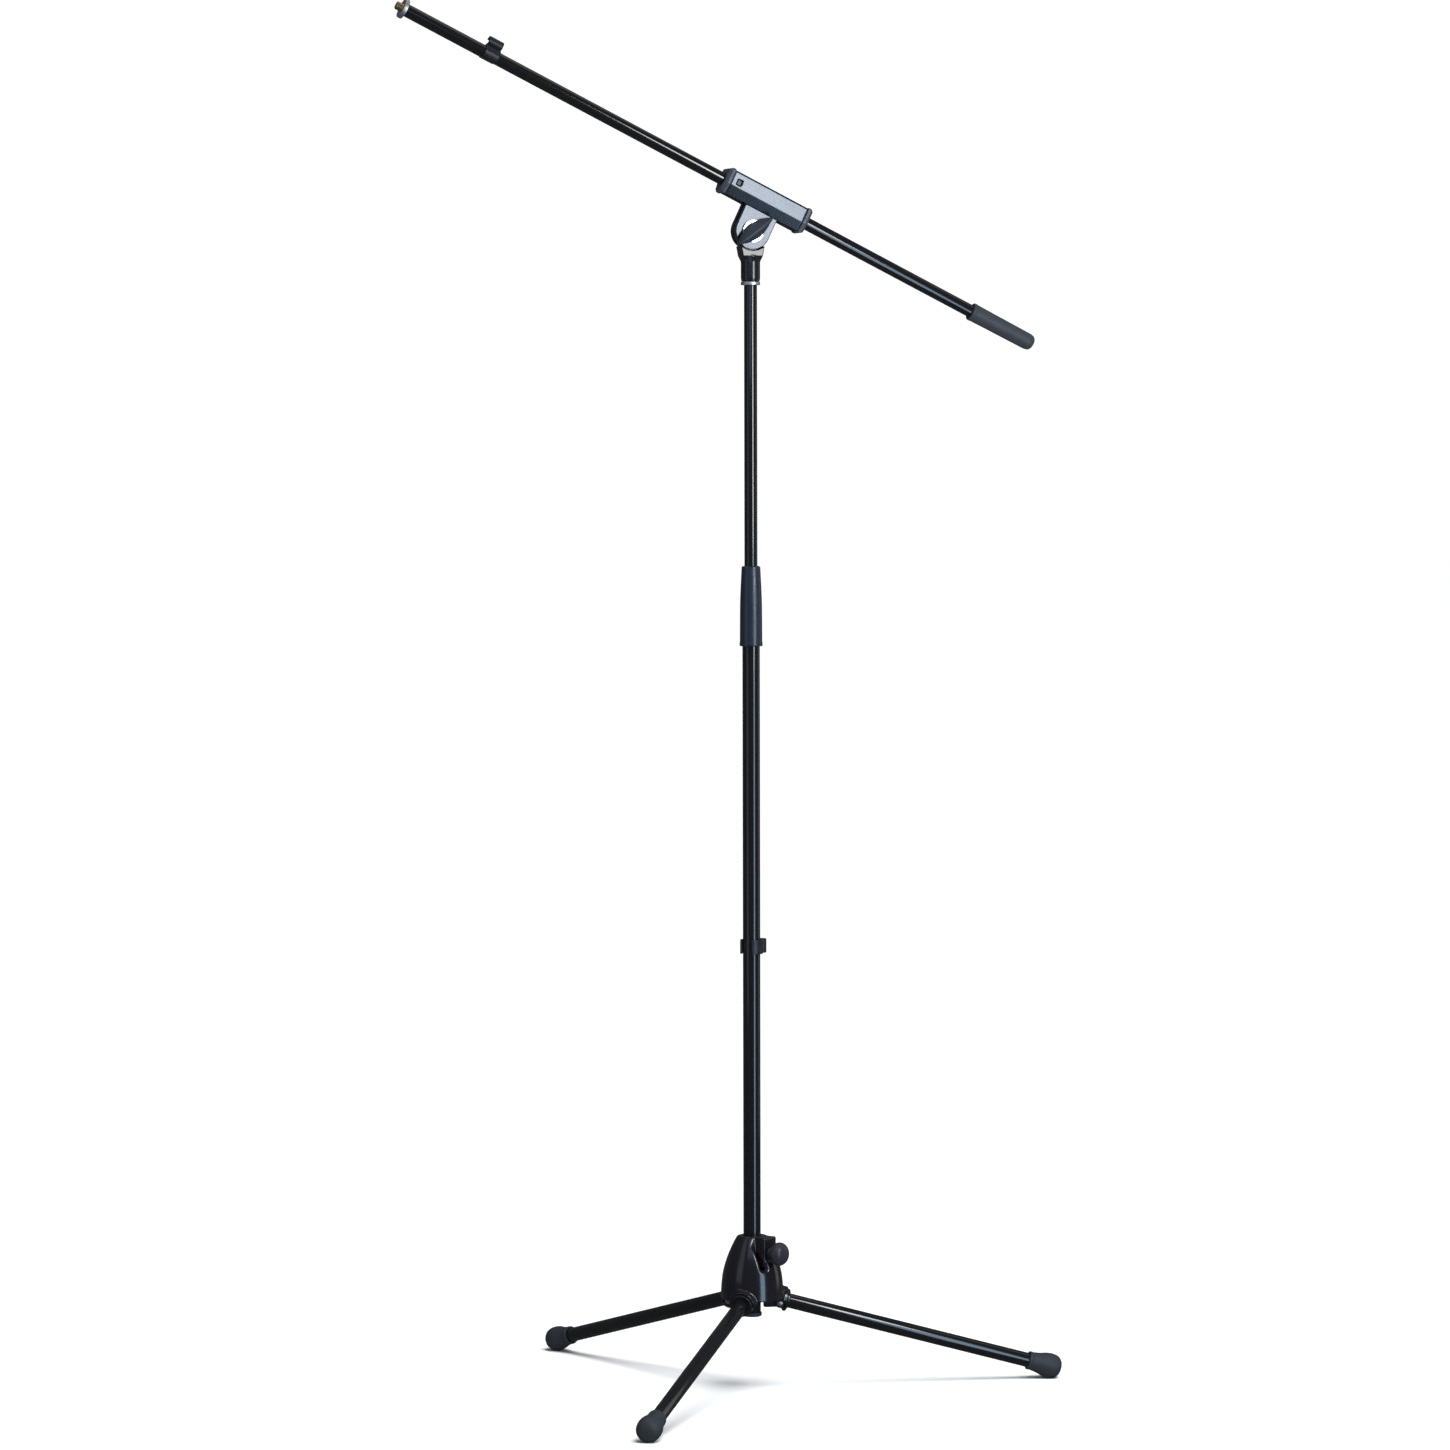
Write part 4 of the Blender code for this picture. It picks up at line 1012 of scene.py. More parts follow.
class StandBaseClamp(bpy.types.Operator):
    """Makes the brass pad, the screw and the knob that hold the column in the base"""

    bl_idname = "stand.base_clamp"
    bl_label = "Base clamp"

    def execute(self, context):
        where = BASE_CLAMP
        edge = detail().edge_round
        pad = span("base_pad", where)
        pad_radius = radii("base_pad", where)[1]
        path = rounded([(pad[0], 0.0), (pad[0], pad_radius, edge), (pad[1], pad_radius, edge), (pad[1], 0.0)])
        brass = bare_metal("Pad brass", colours().brass, where)
        add_piece("base_pad", turned("base_pad", path, where), brass)
        start, stop = span("base_screw", where)
        steel = bare_metal("Clamp screw zinc", colours().zinc, where)
        rod = threaded_rod("base_screw", where, pad_radius, start, stop, detail().bolt_pitch * 1.25, steel)
        add_piece("base_screw", rod, steel, 30)
        self.knob(where)
        return {"FINISHED"}

    def knob(self, where):
        """Domed knob with a soft rim and a short neck that stops at the boss."""
        start, stop = span("base_knob", where)
        dome = spline([
            (stop, 0.0), (stop - 0.0005, 0.0056), (stop - 0.0023, 0.0097), (stop - 0.0057, 0.0123),
            (stop - 0.0090, 0.0128), (stop - 0.0122, 0.0120), (stop - 0.0139, 0.0094),
        ])
        neck = rounded([(stop - 0.0147, 0.0070, 0.0006), (start, 0.0066, 0.0003), (start, 0.0042, 0.0002)])
        seat = rounded([(0.0402, 0.0042, 0.0003), (0.0402, 0.0)])
        material = moulded("Knob plastic", (0.017, 0.015, 0.021), where, 0.40, grain=0.5)
        add_piece("base_knob", turned("base_knob", dome + neck + seat, where), material, 50)


# ---------------------------------------------------------------- legs

class StandLegs(bpy.types.Operator):
    """Makes each leg's tube, bracket, rubber foot, bolt and nut"""

    bl_idname = "stand.legs"
    bl_label = "Legs"

    def execute(self, context):
        for side in SIDES:
            self.leg_tube(side)
            self.leg_bracket(side)
            self.leg_foot(side)
            self.leg_bolt(side)
        return {"FINISHED"}

    def leg_tube(self, side):
        node = f"leg_tube_{side}"
        where = LEG_AXIS[side]
        start, stop = span(node, where)
        outer = radii(node, where)[1]
        path = tube_path(start, stop, outer, outer - 0.001, detail().tube_round)
        add_piece(node, turned(node, path, where), enamel(f"Leg enamel {side}", colours().enamel, where))

    def leg_bracket(self, side):
        """Flange against the hood, plug in the tube and two ears over the lug."""
        node = f"leg_bracket_{side}"
        where = LEG[side]
        start = 0.0057
        stop = start + 0.0028

        def field(p):
            x, y, z = p[:, 0], p[:, 1], p[:, 2]
            around = np.hypot(y, z - LEG_AXIS_RISE)
            flange = drum(around, x, 0.0125, start, stop, 0.0008)
            plug = drum(around, x, 0.0067, start + 0.001, 0.030, 0.0005)
            arm = block(p, (0, -0.02, -0.0062), (start + 0.001, 0.02, 0.0062))
            ear = np.minimum(np.hypot(x, z) - 0.0062, arm)
            ears = plate(ear, np.abs(y), 0.0043, 0.0070, 0.0005)
            body = smooth_min(smooth_min(flange, plug, 0.0005), ears, 0.0009)
            return without(body, np.hypot(x, z) - 0.0028, 0.0003)

        mesh = cast(node, field, (-0.0065, -0.013, -0.0092), (0.030, 0.013, 0.0165), where, 0.00045)
        add_piece(node, mesh, enamel(f"Bracket enamel {side}", colours().casting, where, 0.18, waves=0.4), 50)

    def leg_foot(self, side):
        """Rubber tip with a lipped neck and a round bulb, worn flat where it stands."""
        node = f"leg_foot_{side}"
        where = LEG_AXIS[side]
        start, stop = span(node, where)
        bore = 0.0083
        tip = span(f"leg_tube_{side}", where)[1] + GAP
        bulb = spline([
            (stop, 0.0), (stop - 0.0004, 0.0048), (stop - 0.0024, 0.0094), (stop - 0.0064, 0.0126),
            (stop - 0.0130, 0.0137), (stop - 0.0195, 0.0131), (stop - 0.0270, 0.0112),
            (stop - 0.0335, 0.0102),
        ])
        neck = rounded([
            (start + 0.0036, 0.0100, 0.0004), (start + 0.0026, 0.0104, 0.0004),
            (start + 0.0004, 0.0102, 0.0005),
            (start, 0.0096, 0.0003), (start, bore, 0.0002), (tip, bore, 0.0002), (tip, 0.0),
        ])
        mesh = turned(node, bulb + neck, where)
        for vertex in mesh.vertices:
            vertex.co.z = max(vertex.co.z, 0.0)
        material = moulded(
            f"Foot rubber {side}", colours().rubber, where, 0.62, grain=1.2, grain_scale=2200.0)
        add_piece(node, mesh, material, 50)

    def leg_bolt(self, side):
        """Pan-head bolt with a cross recess through ears and lug, and its nut."""
        node = f"leg_bolt_{side}"
        leg = LEG[side]
        where = place(leg.translation, leg.col[1].xyz, leg.col[2].xyz)
        start, stop = span(node, where)
        zinc = bare_metal(f"Bolt zinc {side}", colours().zinc, where, 0.24)
        head = -0.0073

        def field(p):
            x, y, z = p[:, 0], p[:, 1], p[:, 2]
            around = np.hypot(y, z)
            pan = smooth_max(drum(around, x, 0.0042, start, head, 0.0003),
                             np.hypot(np.hypot(x - (start + 0.0072), 0), around) - 0.0074, 0.0004)
            shank = drum(around, x, 0.00235, start + 0.0005, stop, 0.0004)
            body = np.minimum(pan, shank)
            recess = np.minimum(block(p, (start - 0.01, -0.0004, -0.0020), (start + 0.0011, 0.0004, 0.0020)),
                                block(p, (start - 0.01, -0.0020, -0.0004), (start + 0.0011, 0.0020, 0.0004)))
            return without(body, recess, 0.00015)

        mesh = cast(node, field, (start, -0.0045, -0.0045), (stop, 0.0045, 0.0045), where, 0.00026)
        ridge = thread_ridge(node + "_ridge", where, 0.0025, 0.00022, 0.0074, stop - 0.0005,
                             detail().bolt_pitch * 0.8, zinc)
        add_piece(node, joined(mesh, ridge), zinc, 40)
        node = f"leg_nut_{side}"
        low, high = span(node, where)
        add_piece(node, nut(node, where, 0.0044, low, high, 0.0027),
                  bare_metal(f"Nut zinc {side}", colours().zinc, where, 0.26), 40)


# ---------------------------------------------------------------- column

class StandColumn(bpy.types.Operator):
    """Makes the two column tubes, the end plug, the clutch's brass body and the guide bush"""

    bl_idname = "stand.column"
    bl_label = "Column"

    def execute(self, context):
        where = COLUMN
        edge = detail().tube_round
        for node, wall in (("lower_tube", 0.0012), ("extension_tube", 0.0010)):
            start, stop = span(node, where)
            outer = radii(node, where)[1]
            path = tube_path(start, stop, outer, outer - wall, edge)
            material = enamel(f"{node} enamel", colours().enamel, where)
            add_piece(node, turned(node, path, where), material)
        self.end_plug(where)
        self.clutch_body(where)
        self.guide_bush(where)
        return {"FINISHED"}

    def end_plug(self, where):
        start, stop = span("column_end_plug", where)
        shoulder = start + 0.0045
        path = rounded([
            (stop, 0.0), (stop, 0.0074, 0.0006), (shoulder, 0.0080, 0.0002), (shoulder, 0.0108, 0.0005),
            (start + 0.0010, 0.0106, 0.0007), (start, 0.0092, 0.0006), (start + 0.0004, 0.0, 0.0),
        ])
        material = moulded("Plug plastic", colours().plastic, where, 0.5)
        add_piece("column_end_plug", turned("column_end_plug", path, where), material)

    def clutch_body(self, where):
        start, stop = span("clutch_body", where)
        bore = 0.0074
        shoulder = 0.8583
        path = rounded([
            (stop, 0.0085, 0.0003), (stop - 0.0006, 0.0094, 0.0002), (shoulder, 0.0094, 0.0003),
            (shoulder, 0.0080, 0.0002), (start, 0.0080, 0.0004), (start, bore, 0.0003),
            (stop - 0.004, bore, 0.0003),
        ])
        brass = bare_metal("Clutch brass", colours().brass, where, 0.28)
        mesh = turned("clutch_body", path, where)
        ridge = thread_ridge(
            "clutch_ridge", where, 0.0095, 0.0003, shoulder + 0.002, stop - 0.001, 0.002, brass)
        add_piece("clutch_body", joined(mesh, ridge), brass, 40)

    def guide_bush(self, where):
        start, stop = span("guide_bush", where)
        shoulder = span("extension_tube", where)[0] - GAP
        path = rounded([
            (stop, 0.0045, 0.0003), (stop, 0.0056, 0.0006), (shoulder, 0.0058, 0.0002),
            (shoulder, 0.0080, 0.0005), (start + 0.005, 0.0079, 0.0003), (start, 0.0080, 0.0006),
            (start, 0.0045, 0.0003),
        ])
        material = moulded("Bush plastic", (0.06, 0.06, 0.06), where)
        add_piece("guide_bush", turned("guide_bush", path, where), material)


class StandClutch(bpy.types.Operator):
    """Makes the split collet and the twist grip over it"""

    bl_idname = "stand.clutch"
    bl_label = "Clutch"

    def execute(self, context):
        where = COLUMN
        self.collet(where)
        start, stop = span("twist_grip", where)
        skirt = spline([
            (stop - 0.0010, 0.0102), (stop - 0.0110, 0.0107), (stop - 0.0280, 0.0115),
            (stop - 0.0450, 0.0120),
            (start + 0.0090, 0.0122), (start + 0.0040, 0.0123),
        ])
        path = rounded([(stop, 0.0077, 0.0003), (stop, 0.0094, 0.0007)]) + skirt
        path += rounded([
            (start + 0.0030, 0.0126, 0.0008), (start + 0.0007, 0.0126, 0.0007), (start, 0.0119, 0.0005),
            (start, 0.0099, 0.0004), (0.8940, 0.0099, 0.0003), (0.8940, 0.0077, 0.0003),
        ])
        material = moulded(
            "Grip plastic", (0.008, 0.013, 0.024), where, 0.36, grain=0.35, dust=0.06, specular=0.6)
        add_piece("twist_grip", turned("twist_grip", path, where), material, 50)
        return {"FINISHED"}

    def collet(self, where):
        start, stop = span("clutch_collet", where)

        def field(p):
            x, y, z = p[:, 0], p[:, 1], p[:, 2]
            around = np.hypot(y, z)
            cone = (around - 0.0094 + np.maximum(0, (start + 0.0023) - x) * 0.35) * 0.9
            body = smooth_max(cone, slab(x, start, stop), 0.0003)
            body = without(body, around - 0.0074, 0.0003)
            split = block(p, (start - 0.01, -0.0008, 0.0), (stop + 0.01, 0.0008, 0.02))
            return without(body, split, 0.0003)

        mesh = cast("clutch_collet", field, (start, -0.0094, -0.0094), (stop, 0.0094, 0.0094), where, 0.0004)
        add_piece("clutch_collet", mesh, moulded("Collet plastic", (0.08, 0.08, 0.08), where), 50)


class StandClips(bpy.types.Operator):
    """Makes the two cable clips that snap onto the column and the boom"""

    bl_idname = "stand.clips"
    bl_label = "Cable clips"

    def execute(self, context):
        column = place((COLUMN_X, COLUMN_Y, 0), UP, self.heading(-40))
        self.clip("column_clip", column, 0.0095, 0.0028, 0.0167)
        self.clip("boom_clip", BOOM, 0.0070, 0.0016, 0.0129)
        return {"FINISHED"}

    @staticmethod
    def heading(turn):
        angle = math.radians(turn)
        return Vector((math.cos(angle), math.sin(angle), 0))

    def clip(self, node, where, tube_radius, wall, hook_rise):
        """Open ring round the tube, with a smaller open ring for the cable on top of it."""
        start, stop = span(node, where)
        inner = tube_radius + GAP
        outer = inner + wall
        hook = (0.0, hook_rise)
        ring = arc(outer, -50, 230, 44) + arc(inner, 230, -50, 44)
        loop = arc(0.0055, -115, 165, 36, hook) + arc(0.0033, 165, -115, 36, hook)

        def field(p):
            x, y, z = p[:, 0], p[:, 1], p[:, 2]
            flat = smooth_min(outline_field(y, z, ring), outline_field(y, z, loop), 0.0008)
            return plate(flat, x, start, stop, 0.0005)

        top = hook_rise + 0.0060
        mesh = cast(node, field, (start, -outer, -outer), (stop, outer, top), where, 0.0004)
        material = moulded(f"{node} plastic", (0.005, 0.006, 0.010), where, 0.40, grain=0.4, dust=0.08)
        add_piece(node, mesh, material, 50)


class StandInserts(bpy.types.Operator):
    """Makes the flanged thread inserts and their studs at the ends of the column and the boom"""

    bl_idname = "stand.inserts"
    bl_label = "Thread inserts"

    def execute(self, context):
        self.insert("column", COLUMN, 0.0058)
        self.insert("boom", BOOM, 0.0057)
        return {"FINISHED"}

    def insert(self, prefix, where, plug):
        node = f"{prefix}_insert"
        start, stop = span(node, where)
        flange = radii(node, where)[1]
        shoulder = start + 0.0180
        hole = 0.0050
        path = rounded([
            (stop, hole, 0.0003), (stop, flange, 0.0006), (shoulder, flange, 0.0005),
            (shoulder, plug, 0.0002),
            (start, plug, 0.0005), (start, hole, 0.0003),
        ])
        zinc = bare_metal(f"{prefix} disc zinc", colours().zinc, where, 0.42, marks=0.2, tarnish=0.05)
        add_piece(node, turned(node, path, where), zinc, 40)
        node = f"{prefix}_stud"
        start, stop = span(node, where)
        radius = radii(node, where)[1]
        brass = bare_metal(f"{prefix} stud brass", colours().brass, where, 0.26, tarnish=0.5)
        rod = threaded_rod(node, where, radius, start, stop, detail().stud_pitch, brass, 0.0007)
        add_piece(node, rod, brass, 25)


# ---------------------------------------------------------------- boom joint

class StandSocket(bpy.types.Operator):
    """Makes the joint's lower half: threaded neck, cradle and tongue"""

    bl_idname = "stand.socket"
    bl_label = "Boom socket"

    def execute(self, context):
        points = node_points("boom_socket", SOCKET)
        bottom = float(points[:, 2].min())

        def field(p):
            x, y, z = p[:, 0], p[:, 1], p[:, 2]
            around = np.hypot(x, y)
            neck = drum(around, z, 0.0107, bottom, -0.0262, 0.0006)
            foot = (around - 0.0098 - (z - bottom) * 0.28) * 0.95
            shoulder = (around - 0.0107 + np.maximum(0, z + 0.0330) * 0.33) * 0.95
            neck = smooth_max(smooth_max(neck, foot, 0.0004), shoulder, 0.0008)
            sides = [(-0.0146, -0.0115), (-0.0104, -0.0325), (0.0104, -0.0325), (0.0146, -0.0115)]
            knuckle = plate(outline_field(x, z, sides), y, -0.0085, 0.0085, 0.0007)
            chamfer = (np.abs(y) - 0.0085 - (z + 0.0268) * 0.9) * 0.74
            knuckle = smooth_max(knuckle, chamfer, 0.0005)
            knuckle = without(knuckle, np.hypot(x, z) - 0.0210, 0.0005)
            tongue_sides = arc(0.0190, -30, 210, 40) + [(-0.0085, -0.0250), (0.0085, -0.0250)]
            tongue = plate(outline_field(x, z, tongue_sides), y, -0.0028, 0.0028, 0.0003)
            body = smooth_min(smooth_min(neck, knuckle, 0.0012), tongue, 0.0004)
            body = without(body, np.maximum(around - 0.0051, z - (bottom + 0.0165)), 0.0003)
            return without(body, np.hypot(x, z) - 0.0033, 0.0003)

        mesh = cast("boom_socket", field, (-0.0195, -0.011, bottom), (0.0195, 0.011, 0.0195), SOCKET,
                    detail().grid * 0.9)
        material = enamel("Socket enamel", (0.0065, 0.0068, 0.008), SOCKET, 0.22, waves=0.3, specular=0.42)
        add_piece("boom_socket", mesh, material, 50)
        return {"FINISHED"}


def sleeve_outline(grow=0.0):
    """Section of the clamp's sleeve about the boom: flat front and back, drawn in below."""
    right = [
        (0.0113 + grow, 0.0134 + grow), (0.0130 + grow, 0.0117 + grow),
        (0.0130 + grow, -0.0032 - grow / 2), (0.0092 + grow, -0.0134 - grow),
    ]
    return right + [(-y, z) for y, z in reversed(right)]


WINDOW = {"inset": 0.0088, "width": 0.0060, "height": 0.0065, "rise": 0.0027}


class StandClampHousing(bpy.types.Operator):
    """Makes the sleeve with its two cheeks, and the bushes that cap its ends"""

    bl_idname = "stand.clamp_housing"
    bl_label = "Clamp housing"

    def execute(self, context):
        start, stop = span("clamp_housing", TILT)

        def field(p):
            x, y, z = p[:, 0], p[:, 1], p[:, 2]
            rise = z - BOOM_RISE
            section = outline_field(y, rise, sleeve_outline())
            body = plate(section, x, start, stop, 0.0007)
            sides = arc(0.0200, 180, 360, 48) + [(0.0200, 0.0300), (-0.0200, 0.0300)]
            cheeks = plate(outline_field(x, z, sides), y, -0.0085, 0.0085, 0.0006)
            body = smooth_min(body, cheeks, 0.0010)
            body = without(body, np.hypot(y, rise) - 0.0095, 0.0004)
            slit = np.maximum(slab(y, -0.0031, 0.0031), z - BOOM_RISE)
            body = without(body, slit, 0.0004)
            for end, way in ((stop, 1), (start, -1)):
                middle = end - way * WINDOW["inset"]
                half = WINDOW["width"] / 2
                tall = WINDOW["height"] / 2
                near = 0.005 * way if way > 0 else -0.02
                opening = block(
                    np.stack((x, y, rise), axis=1), (middle - half, near, WINDOW["rise"] - tall),
                    (middle + half, 0.02 if way > 0 else -0.005, WINDOW["rise"] + tall), 0.0006)
                body = without(body, opening, 0.0003)
            return without(body, np.hypot(x, z) - 0.0033, 0.0003)

        mesh = cast("clamp_housing", field, (start, -0.0130, -0.0200), (stop, 0.0130, 0.0505), TILT,
                    detail().grid * 1.1)
        add_piece("clamp_housing", mesh, satin("Clamp satin", colours().satin, TILT), 50)
        self.bush("tip", stop, 1)
        self.bush("tail", start, -1)
        return {"FINISHED"}

    def bush(self, name, end, way):
        """End cap with a bevelled mouth, a liner in the sleeve and a tab in the window."""
        node = f"clamp_bush_{name}"
        where = place(BOOM @ Vector((end, 0, 0)), BOOM.col[0].xyz * way, BOOM.col[1].xyz * way)
        length = 0.0070

        def field(p):
            x, y, z = p[:, 0], p[:, 1], p[:, 2]
            section = outline_field(y, z, sleeve_outline(0.0009))
            cap = plate(section, x, GAP, length, 0.0007)
            bevel = (section + (x - (length - 0.0028)) * 0.9) * 0.74
            cap = smooth_max(cap, bevel, 0.0006)
            around = np.hypot(y, z)
            liner = drum(around, x, 0.0092, -0.0200, 0.002, 0.0004)
            half = WINDOW["width"] / 2 - 0.0006
            tall = WINDOW["height"] / 2 - 0.0006
            tab = block(p, (-WINDOW["inset"] - half, 0.0080, WINDOW["rise"] - tall),
                        (-WINDOW["inset"] + half, 0.0118, WINDOW["rise"] + tall), 0.0005)
            body = smooth_min(smooth_min(cap, liner, 0.0003), tab, 0.0003)
            return without(body, around - 0.0073, 0.0005)

        mesh = cast(node, field, (-0.0200, -0.0140, -0.0150), (length, 0.0140, 0.0150), where, 0.00045)
        material = moulded(f"Bush plastic {name}", (0.030, 0.037, 0.050), where, 0.42, grain=0.5)
        add_piece(node, mesh, material, 50)


class StandWingScrew(bpy.types.Operator):
    """Makes the washer, the wing, its screw and the nut behind the rear cheek"""

    bl_idname = "stand.wing_screw"
    bl_label = "Wing screw"

    def execute(self, context):
        where = WING
        self.washer(where)
        self.wing(where)
        start, stop = span("wing_screw", where)
        zinc = bare_metal("Wing screw zinc", colours().zinc, where)
        rod = threaded_rod("wing_screw", where, 0.0030, start, stop, detail().bolt_pitch, zinc)
        add_piece("wing_screw", rod, zinc, 30)
        low, high = span("clamp_nut", where)
        radius = radii("clamp_nut", where)[1]
        add_piece("clamp_nut", nut("clamp_nut", where, radius, low, high, 0.0032),
                  bare_metal("Clamp nut zinc", colours().zinc, where, 0.26), 40)
        return {"FINISHED"}

    def washer(self, where):
        start, stop = span("wing_washer", where)
        outer = radii("wing_washer", where)[1]
        hole = 0.0034
        path = rounded([
            (start, hole, 0.0002), (start, outer, 0.0004), (stop, outer, 0.0007), (stop, hole, 0.0002),
        ])
        material = bare_metal(
            "Washer steel", colours().steel, where, 0.16, rings=3000.0, marks=0.3, tarnish=0.1)
        add_piece("wing_washer", turned("wing_washer", path, where), material)

    def wing(self, where):
        """Leaf-shaped wing with a crest along it, on a round hub."""
        start = span("wing_knob", where)[0]
        half_length = self.half_length(where)
        turn = math.radians(WING_TURN)
        foot = start + 0.0030
        crest = start + 0.0150

        def field(p):
            x, y, z = p[:, 0], p[:, 1], p[:, 2]
            along = y * math.cos(turn) - z * math.sin(turn)
            across = y * math.sin(turn) + z * math.cos(turn)
            share = np.clip((x - foot) / (crest - foot), 0, 1)
            wide = 0.0088 * (1 - share) + 0.0010 * share
            bow = (half_length ** 2 + wide ** 2) / (2 * wide)
            leaf = (np.hypot(along, np.abs(across) + bow - wide) - bow) * 0.8
            crown = x - (crest - (crest - foot) * 0.42 * (along / half_length) ** 2)
            blade = smooth_max(smooth_max(leaf, crown, 0.0010), foot - x, 0.0008)
            around = np.hypot(y, z)
            hub = drum(around, x, 0.0084, start, start + 0.0062, 0.0012)
            body = smooth_min(blade, hub, 0.0014)
            bore = np.maximum(around - 0.0033, x - (start + 0.0103))
            return without(body, bore, 0.0002)

        reach = half_length + 0.001
        mesh = cast("wing_knob", field, (start, -reach, -reach), (crest, reach, reach), where, 0.00042)
        material = moulded("Wing plastic", (0.020, 0.026, 0.036), where, 0.38, grain=0.4)
        add_piece("wing_knob", mesh, material, 60)

    @staticmethod
    def half_length(where):
        points = node_points("wing_knob", where)
        return float(np.hypot(points[:, 1], points[:, 2]).max())


WING_TURN = 27.9                 # from across the boom to the wing's length


# ---------------------------------------------------------------- boom

class StandBoom(bpy.types.Operator):
    """Makes the boom tube and the rubber grip at its tail"""

    bl_idname = "stand.boom"
    bl_label = "Boom"

    def execute(self, context):
        start, stop = span("boom_tube", BOOM)
        outer = radii("boom_tube", BOOM)[1]
        path = tube_path(start, stop, outer, outer - 0.001, detail().tube_round)
        add_piece("boom_tube", turned("boom_tube", path, BOOM), enamel("Boom enamel", colours().enamel, BOOM))
        self.grip(start)
        return {"FINISHED"}

    def grip(self, tail):
        """Slightly tapered sleeve with a rolled mouth and a round closed end."""
        end, mouth = span("boom_grip", BOOM)
        bore = 0.0073
        floor = tail - GAP
        skin = spline([
            (mouth - 0.0050, 0.0098), (mouth - 0.0300, 0.0095), (end + 0.0120, 0.0092),
            (end + 0.0060, 0.0089),
            (end + 0.0028, 0.0080), (end + 0.0009, 0.0060), (end + 0.0001, 0.0030), (end, 0.0),
        ])
        path = rounded([
            (floor, 0.0), (floor, bore, 0.0003), (mouth, bore, 0.0003), (mouth, 0.0095, 0.0006),
            (mouth - 0.0010, 0.0101, 0.0006), (mouth - 0.0034, 0.0101, 0.0006),
            (mouth - 0.0042, 0.0098, 0.0004),
        ]) + skin
        material = moulded("Grip rubber", (0.022, 0.026, 0.034), BOOM, 0.60, grain=1.1, grain_scale=2200.0)
        add_piece("boom_grip", turned("boom_grip", path, BOOM), material, 50)


# ---------------------------------------------------------------- stage

# Upright lights round the column: azimuth to the right of the front, width, lower and upper edge, colour
PANELS = {
    "key": (40.0, 0.36, 0.95, 1.72, (0.97, 0.99, 1.0)),
    "low_key": (40.0, 0.50, -0.3, 0.95, (0.55, 0.78, 1.0)),
    "fill": (-52.0, 0.70, 0.2, 2.4, (0.85, 0.92, 1.0)),
    "rim": (112.0, 0.50, 0.0, 2.6, (1.0, 0.93, 0.84)),
    "high_front": (-4.0, 1.2, 1.3, 3.0, (0.45, 0.68, 1.0)),
}
PANEL_DISTANCE = 1.7             # from the column
FLOOR_HALF = 40.0
FLOOR_DROP = 0.0002              # below the feet


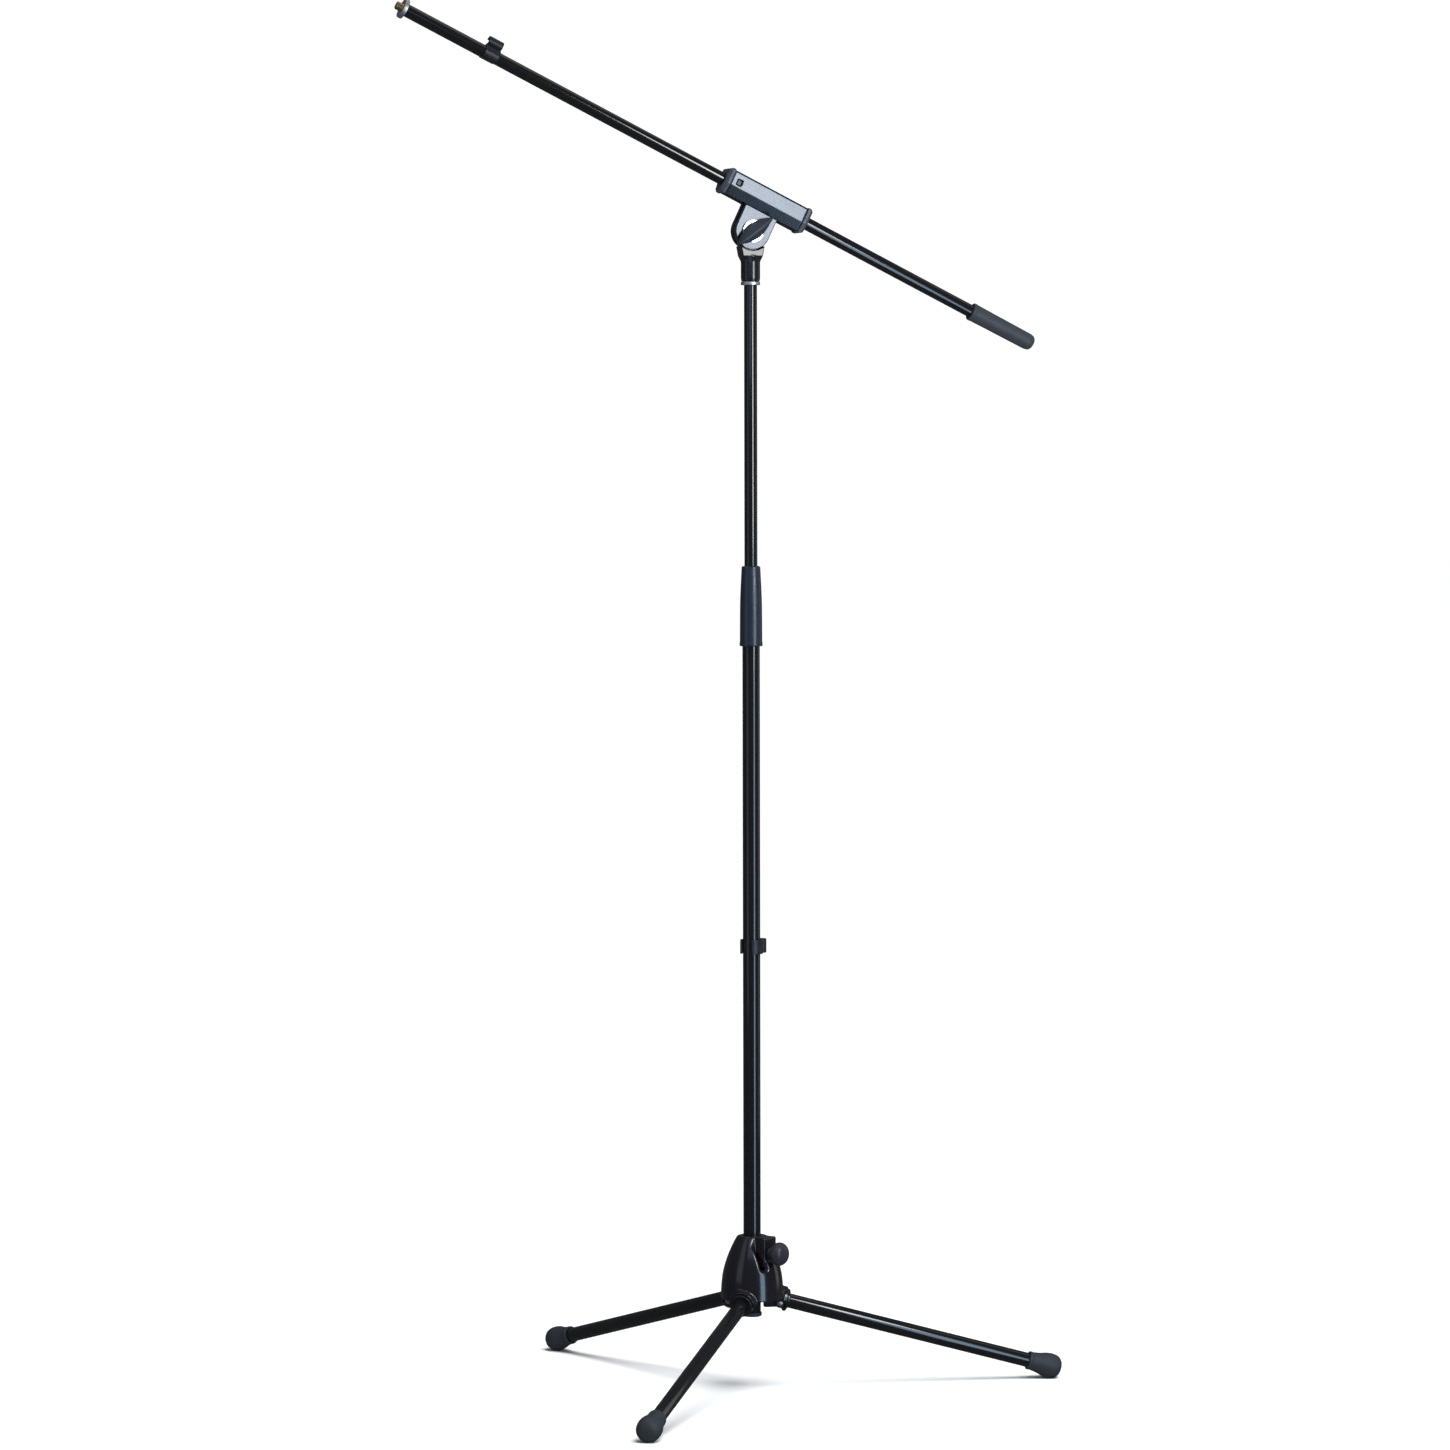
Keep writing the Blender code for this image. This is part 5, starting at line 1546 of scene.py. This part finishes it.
class StandStageBuilder(bpy.types.Operator):
    """Lays the floor, lights the studio and sets up the camera"""

    bl_idname = "stand.stage"
    bl_label = "Stage"

    def execute(self, context):
        stage = context.scene.stand_stage
        context.scene.view_settings.view_transform = "Standard"
        self.floor(stage)
        self.world(stage)
        for name, (azimuth, width, low, high, colour) in PANELS.items():
            self.panel(name, azimuth, width, low, high, getattr(stage, name), colour)
        self.overhead(stage)
        self.camera(stage)
        return {"FINISHED"}

    def floor(self, stage):
        corners = ((-1, -1), (1, -1), (1, 1), (-1, 1))
        points = [(x * FLOOR_HALF, y * FLOOR_HALF, -FLOOR_DROP) for x, y in corners]
        mesh = new_mesh("floor", points, [(0, 1, 2, 3)])
        material = bpy.data.materials.new("Floor")
        material.use_nodes = True
        wiring = Wiring(material.node_tree)
        shader = material.node_tree.nodes["Principled BSDF"]
        shader.inputs["Roughness"].default_value = 0.85
        shader.inputs["Specular IOR Level"].default_value = 0.1
        place_of = wiring.node("ShaderNodeTexCoord").outputs["Object"]
        pale = wiring.noise(place_of, 3.0, 3.0)
        dim = (*[channel * 0.97 for channel in stage.floor], 1.0)
        wiring.feed(shader.inputs["Base Color"], wiring.mix_colour(pale, dim, (*stage.floor, 1.0)))
        mesh.materials.append(material)
        floor = bpy.data.objects.new("floor", mesh)
        bpy.context.scene.collection.objects.link(floor)
        floor.visible_glossy = False

    def world(self, stage):
        """Pale where the camera looks straight at it, dim where it lights and reflects."""
        world = bpy.data.worlds.new("Studio")
        bpy.context.scene.world = world
        world.use_nodes = True
        tree = world.node_tree
        tree.nodes.clear()
        wiring = Wiring(tree)
        seen = wiring.node("ShaderNodeBackground")
        seen.inputs["Color"].default_value = (1, 1, 1, 1)
        seen.inputs["Strength"].default_value = stage.backdrop
        light = wiring.node("ShaderNodeBackground")
        light.inputs["Color"].default_value = (0.82, 0.90, 1.0, 1)
        light.inputs["Strength"].default_value = stage.ambient
        path = wiring.node("ShaderNodeLightPath")
        mix = wiring.node("ShaderNodeMixShader")
        wiring.feed(mix.inputs[0], path.outputs["Is Camera Ray"])
        wiring.feed(mix.inputs[1], light.outputs[0])
        wiring.feed(mix.inputs[2], seen.outputs[0])
        wiring.feed(wiring.node("ShaderNodeOutputWorld").inputs["Surface"], mix.outputs[0])

    def panel(self, name, azimuth, width, low, high, radiance, colour):
        """Upright light round the column, at an azimuth counted to the right of the front."""
        data = bpy.data.lights.new(name, "AREA")
        data.shape = "RECTANGLE"
        data.size = width
        data.size_y = high - low
        data.color = colour
        data.energy = radiance * math.pi * width * (high - low)
        angle = math.radians(azimuth)
        outwards = Vector((math.sin(angle), -math.cos(angle), 0))
        light = bpy.data.objects.new(name, data)
        light.location = Vector((COLUMN_X, COLUMN_Y, (low + high) / 2)) + outwards * PANEL_DISTANCE
        light.rotation_euler = (-outwards).to_track_quat("-Z", "Y").to_euler()
        light.visible_camera = False
        bpy.context.scene.collection.objects.link(light)

    def overhead(self, stage):
        """Large dim panel over the stand, and an even light on the floor."""
        data = bpy.data.lights.new("Overhead", "AREA")
        data.shape = "RECTANGLE"
        data.size = 3.0
        data.size_y = 2.4
        data.color = (1.0, 0.94, 0.82)
        data.energy = stage.overhead * math.pi * data.size * data.size_y
        panel = bpy.data.objects.new("Overhead", data)
        panel.location = (0, 0.6, 3.4)
        panel.visible_camera = False
        sun = bpy.data.lights.new("Floor light", "SUN")
        sun.energy = stage.top
        sun.angle = math.radians(40)
        wide = bpy.data.objects.new("Floor light", sun)
        wide.rotation_euler = (math.radians(18), math.radians(14), 0)
        wide.visible_glossy = False
        for light in (panel, wide):
            bpy.context.scene.collection.objects.link(light)

    def camera(self, stage):
        data = bpy.data.cameras.new("Camera")
        data.sensor_width = 36.0
        data.lens = stage.lens
        camera = bpy.data.objects.new("Camera", data)
        camera.location = (COLUMN_X, COLUMN_Y - stage.distance, stage.eye_height)
        turn = Matrix.Rotation(stage.yaw, 4, "Z") @ Matrix.Rotation(math.pi / 2 - stage.pitch, 4, "X")
        camera.rotation_euler = (turn @ Matrix.Rotation(stage.roll, 4, "Z")).to_euler()
        bpy.context.scene.collection.objects.link(camera)
        bpy.context.scene.camera = camera


# ---------------------------------------------------------------- panel and run

BUILDERS = (
    StandBaseCasting, StandBaseClamp, StandLegs, StandColumn, StandClutch, StandClips, StandInserts,
    StandSocket, StandClampHousing, StandWingScrew, StandBoom, StandStageBuilder,
)


class STAND_PT_builders(bpy.types.Panel):
    """Lists what builds the stand"""

    bl_idname = "STAND_PT_builders"
    bl_label = "Microphone stand"
    bl_space_type = "VIEW_3D"
    bl_region_type = "UI"
    bl_category = "Stand"

    def draw(self, context):
        for builder in BUILDERS:
            self.layout.operator(builder.bl_idname)


GROUP_CLASSES = {"stand_detail": StandDetail, "stand_finish": StandFinish, "stand_stage": StandStage}


def register():
    for cls in (*GROUP_CLASSES.values(), *BUILDERS, STAND_PT_builders):
        bpy.utils.register_class(cls)
    for name, cls in GROUP_CLASSES.items():
        setattr(bpy.types.Scene, name, bpy.props.PointerProperty(type=cls))


def unregister():
    for name in GROUP_CLASSES:
        delattr(bpy.types.Scene, name)
    for cls in reversed((*GROUP_CLASSES.values(), *BUILDERS, STAND_PT_builders)):
        bpy.utils.unregister_class(cls)


def main():
    register()
    for builder in BUILDERS:
        group, name = builder.bl_idname.split(".")
        getattr(getattr(bpy.ops, group), name)()


if __name__ == "__main__":
    main()
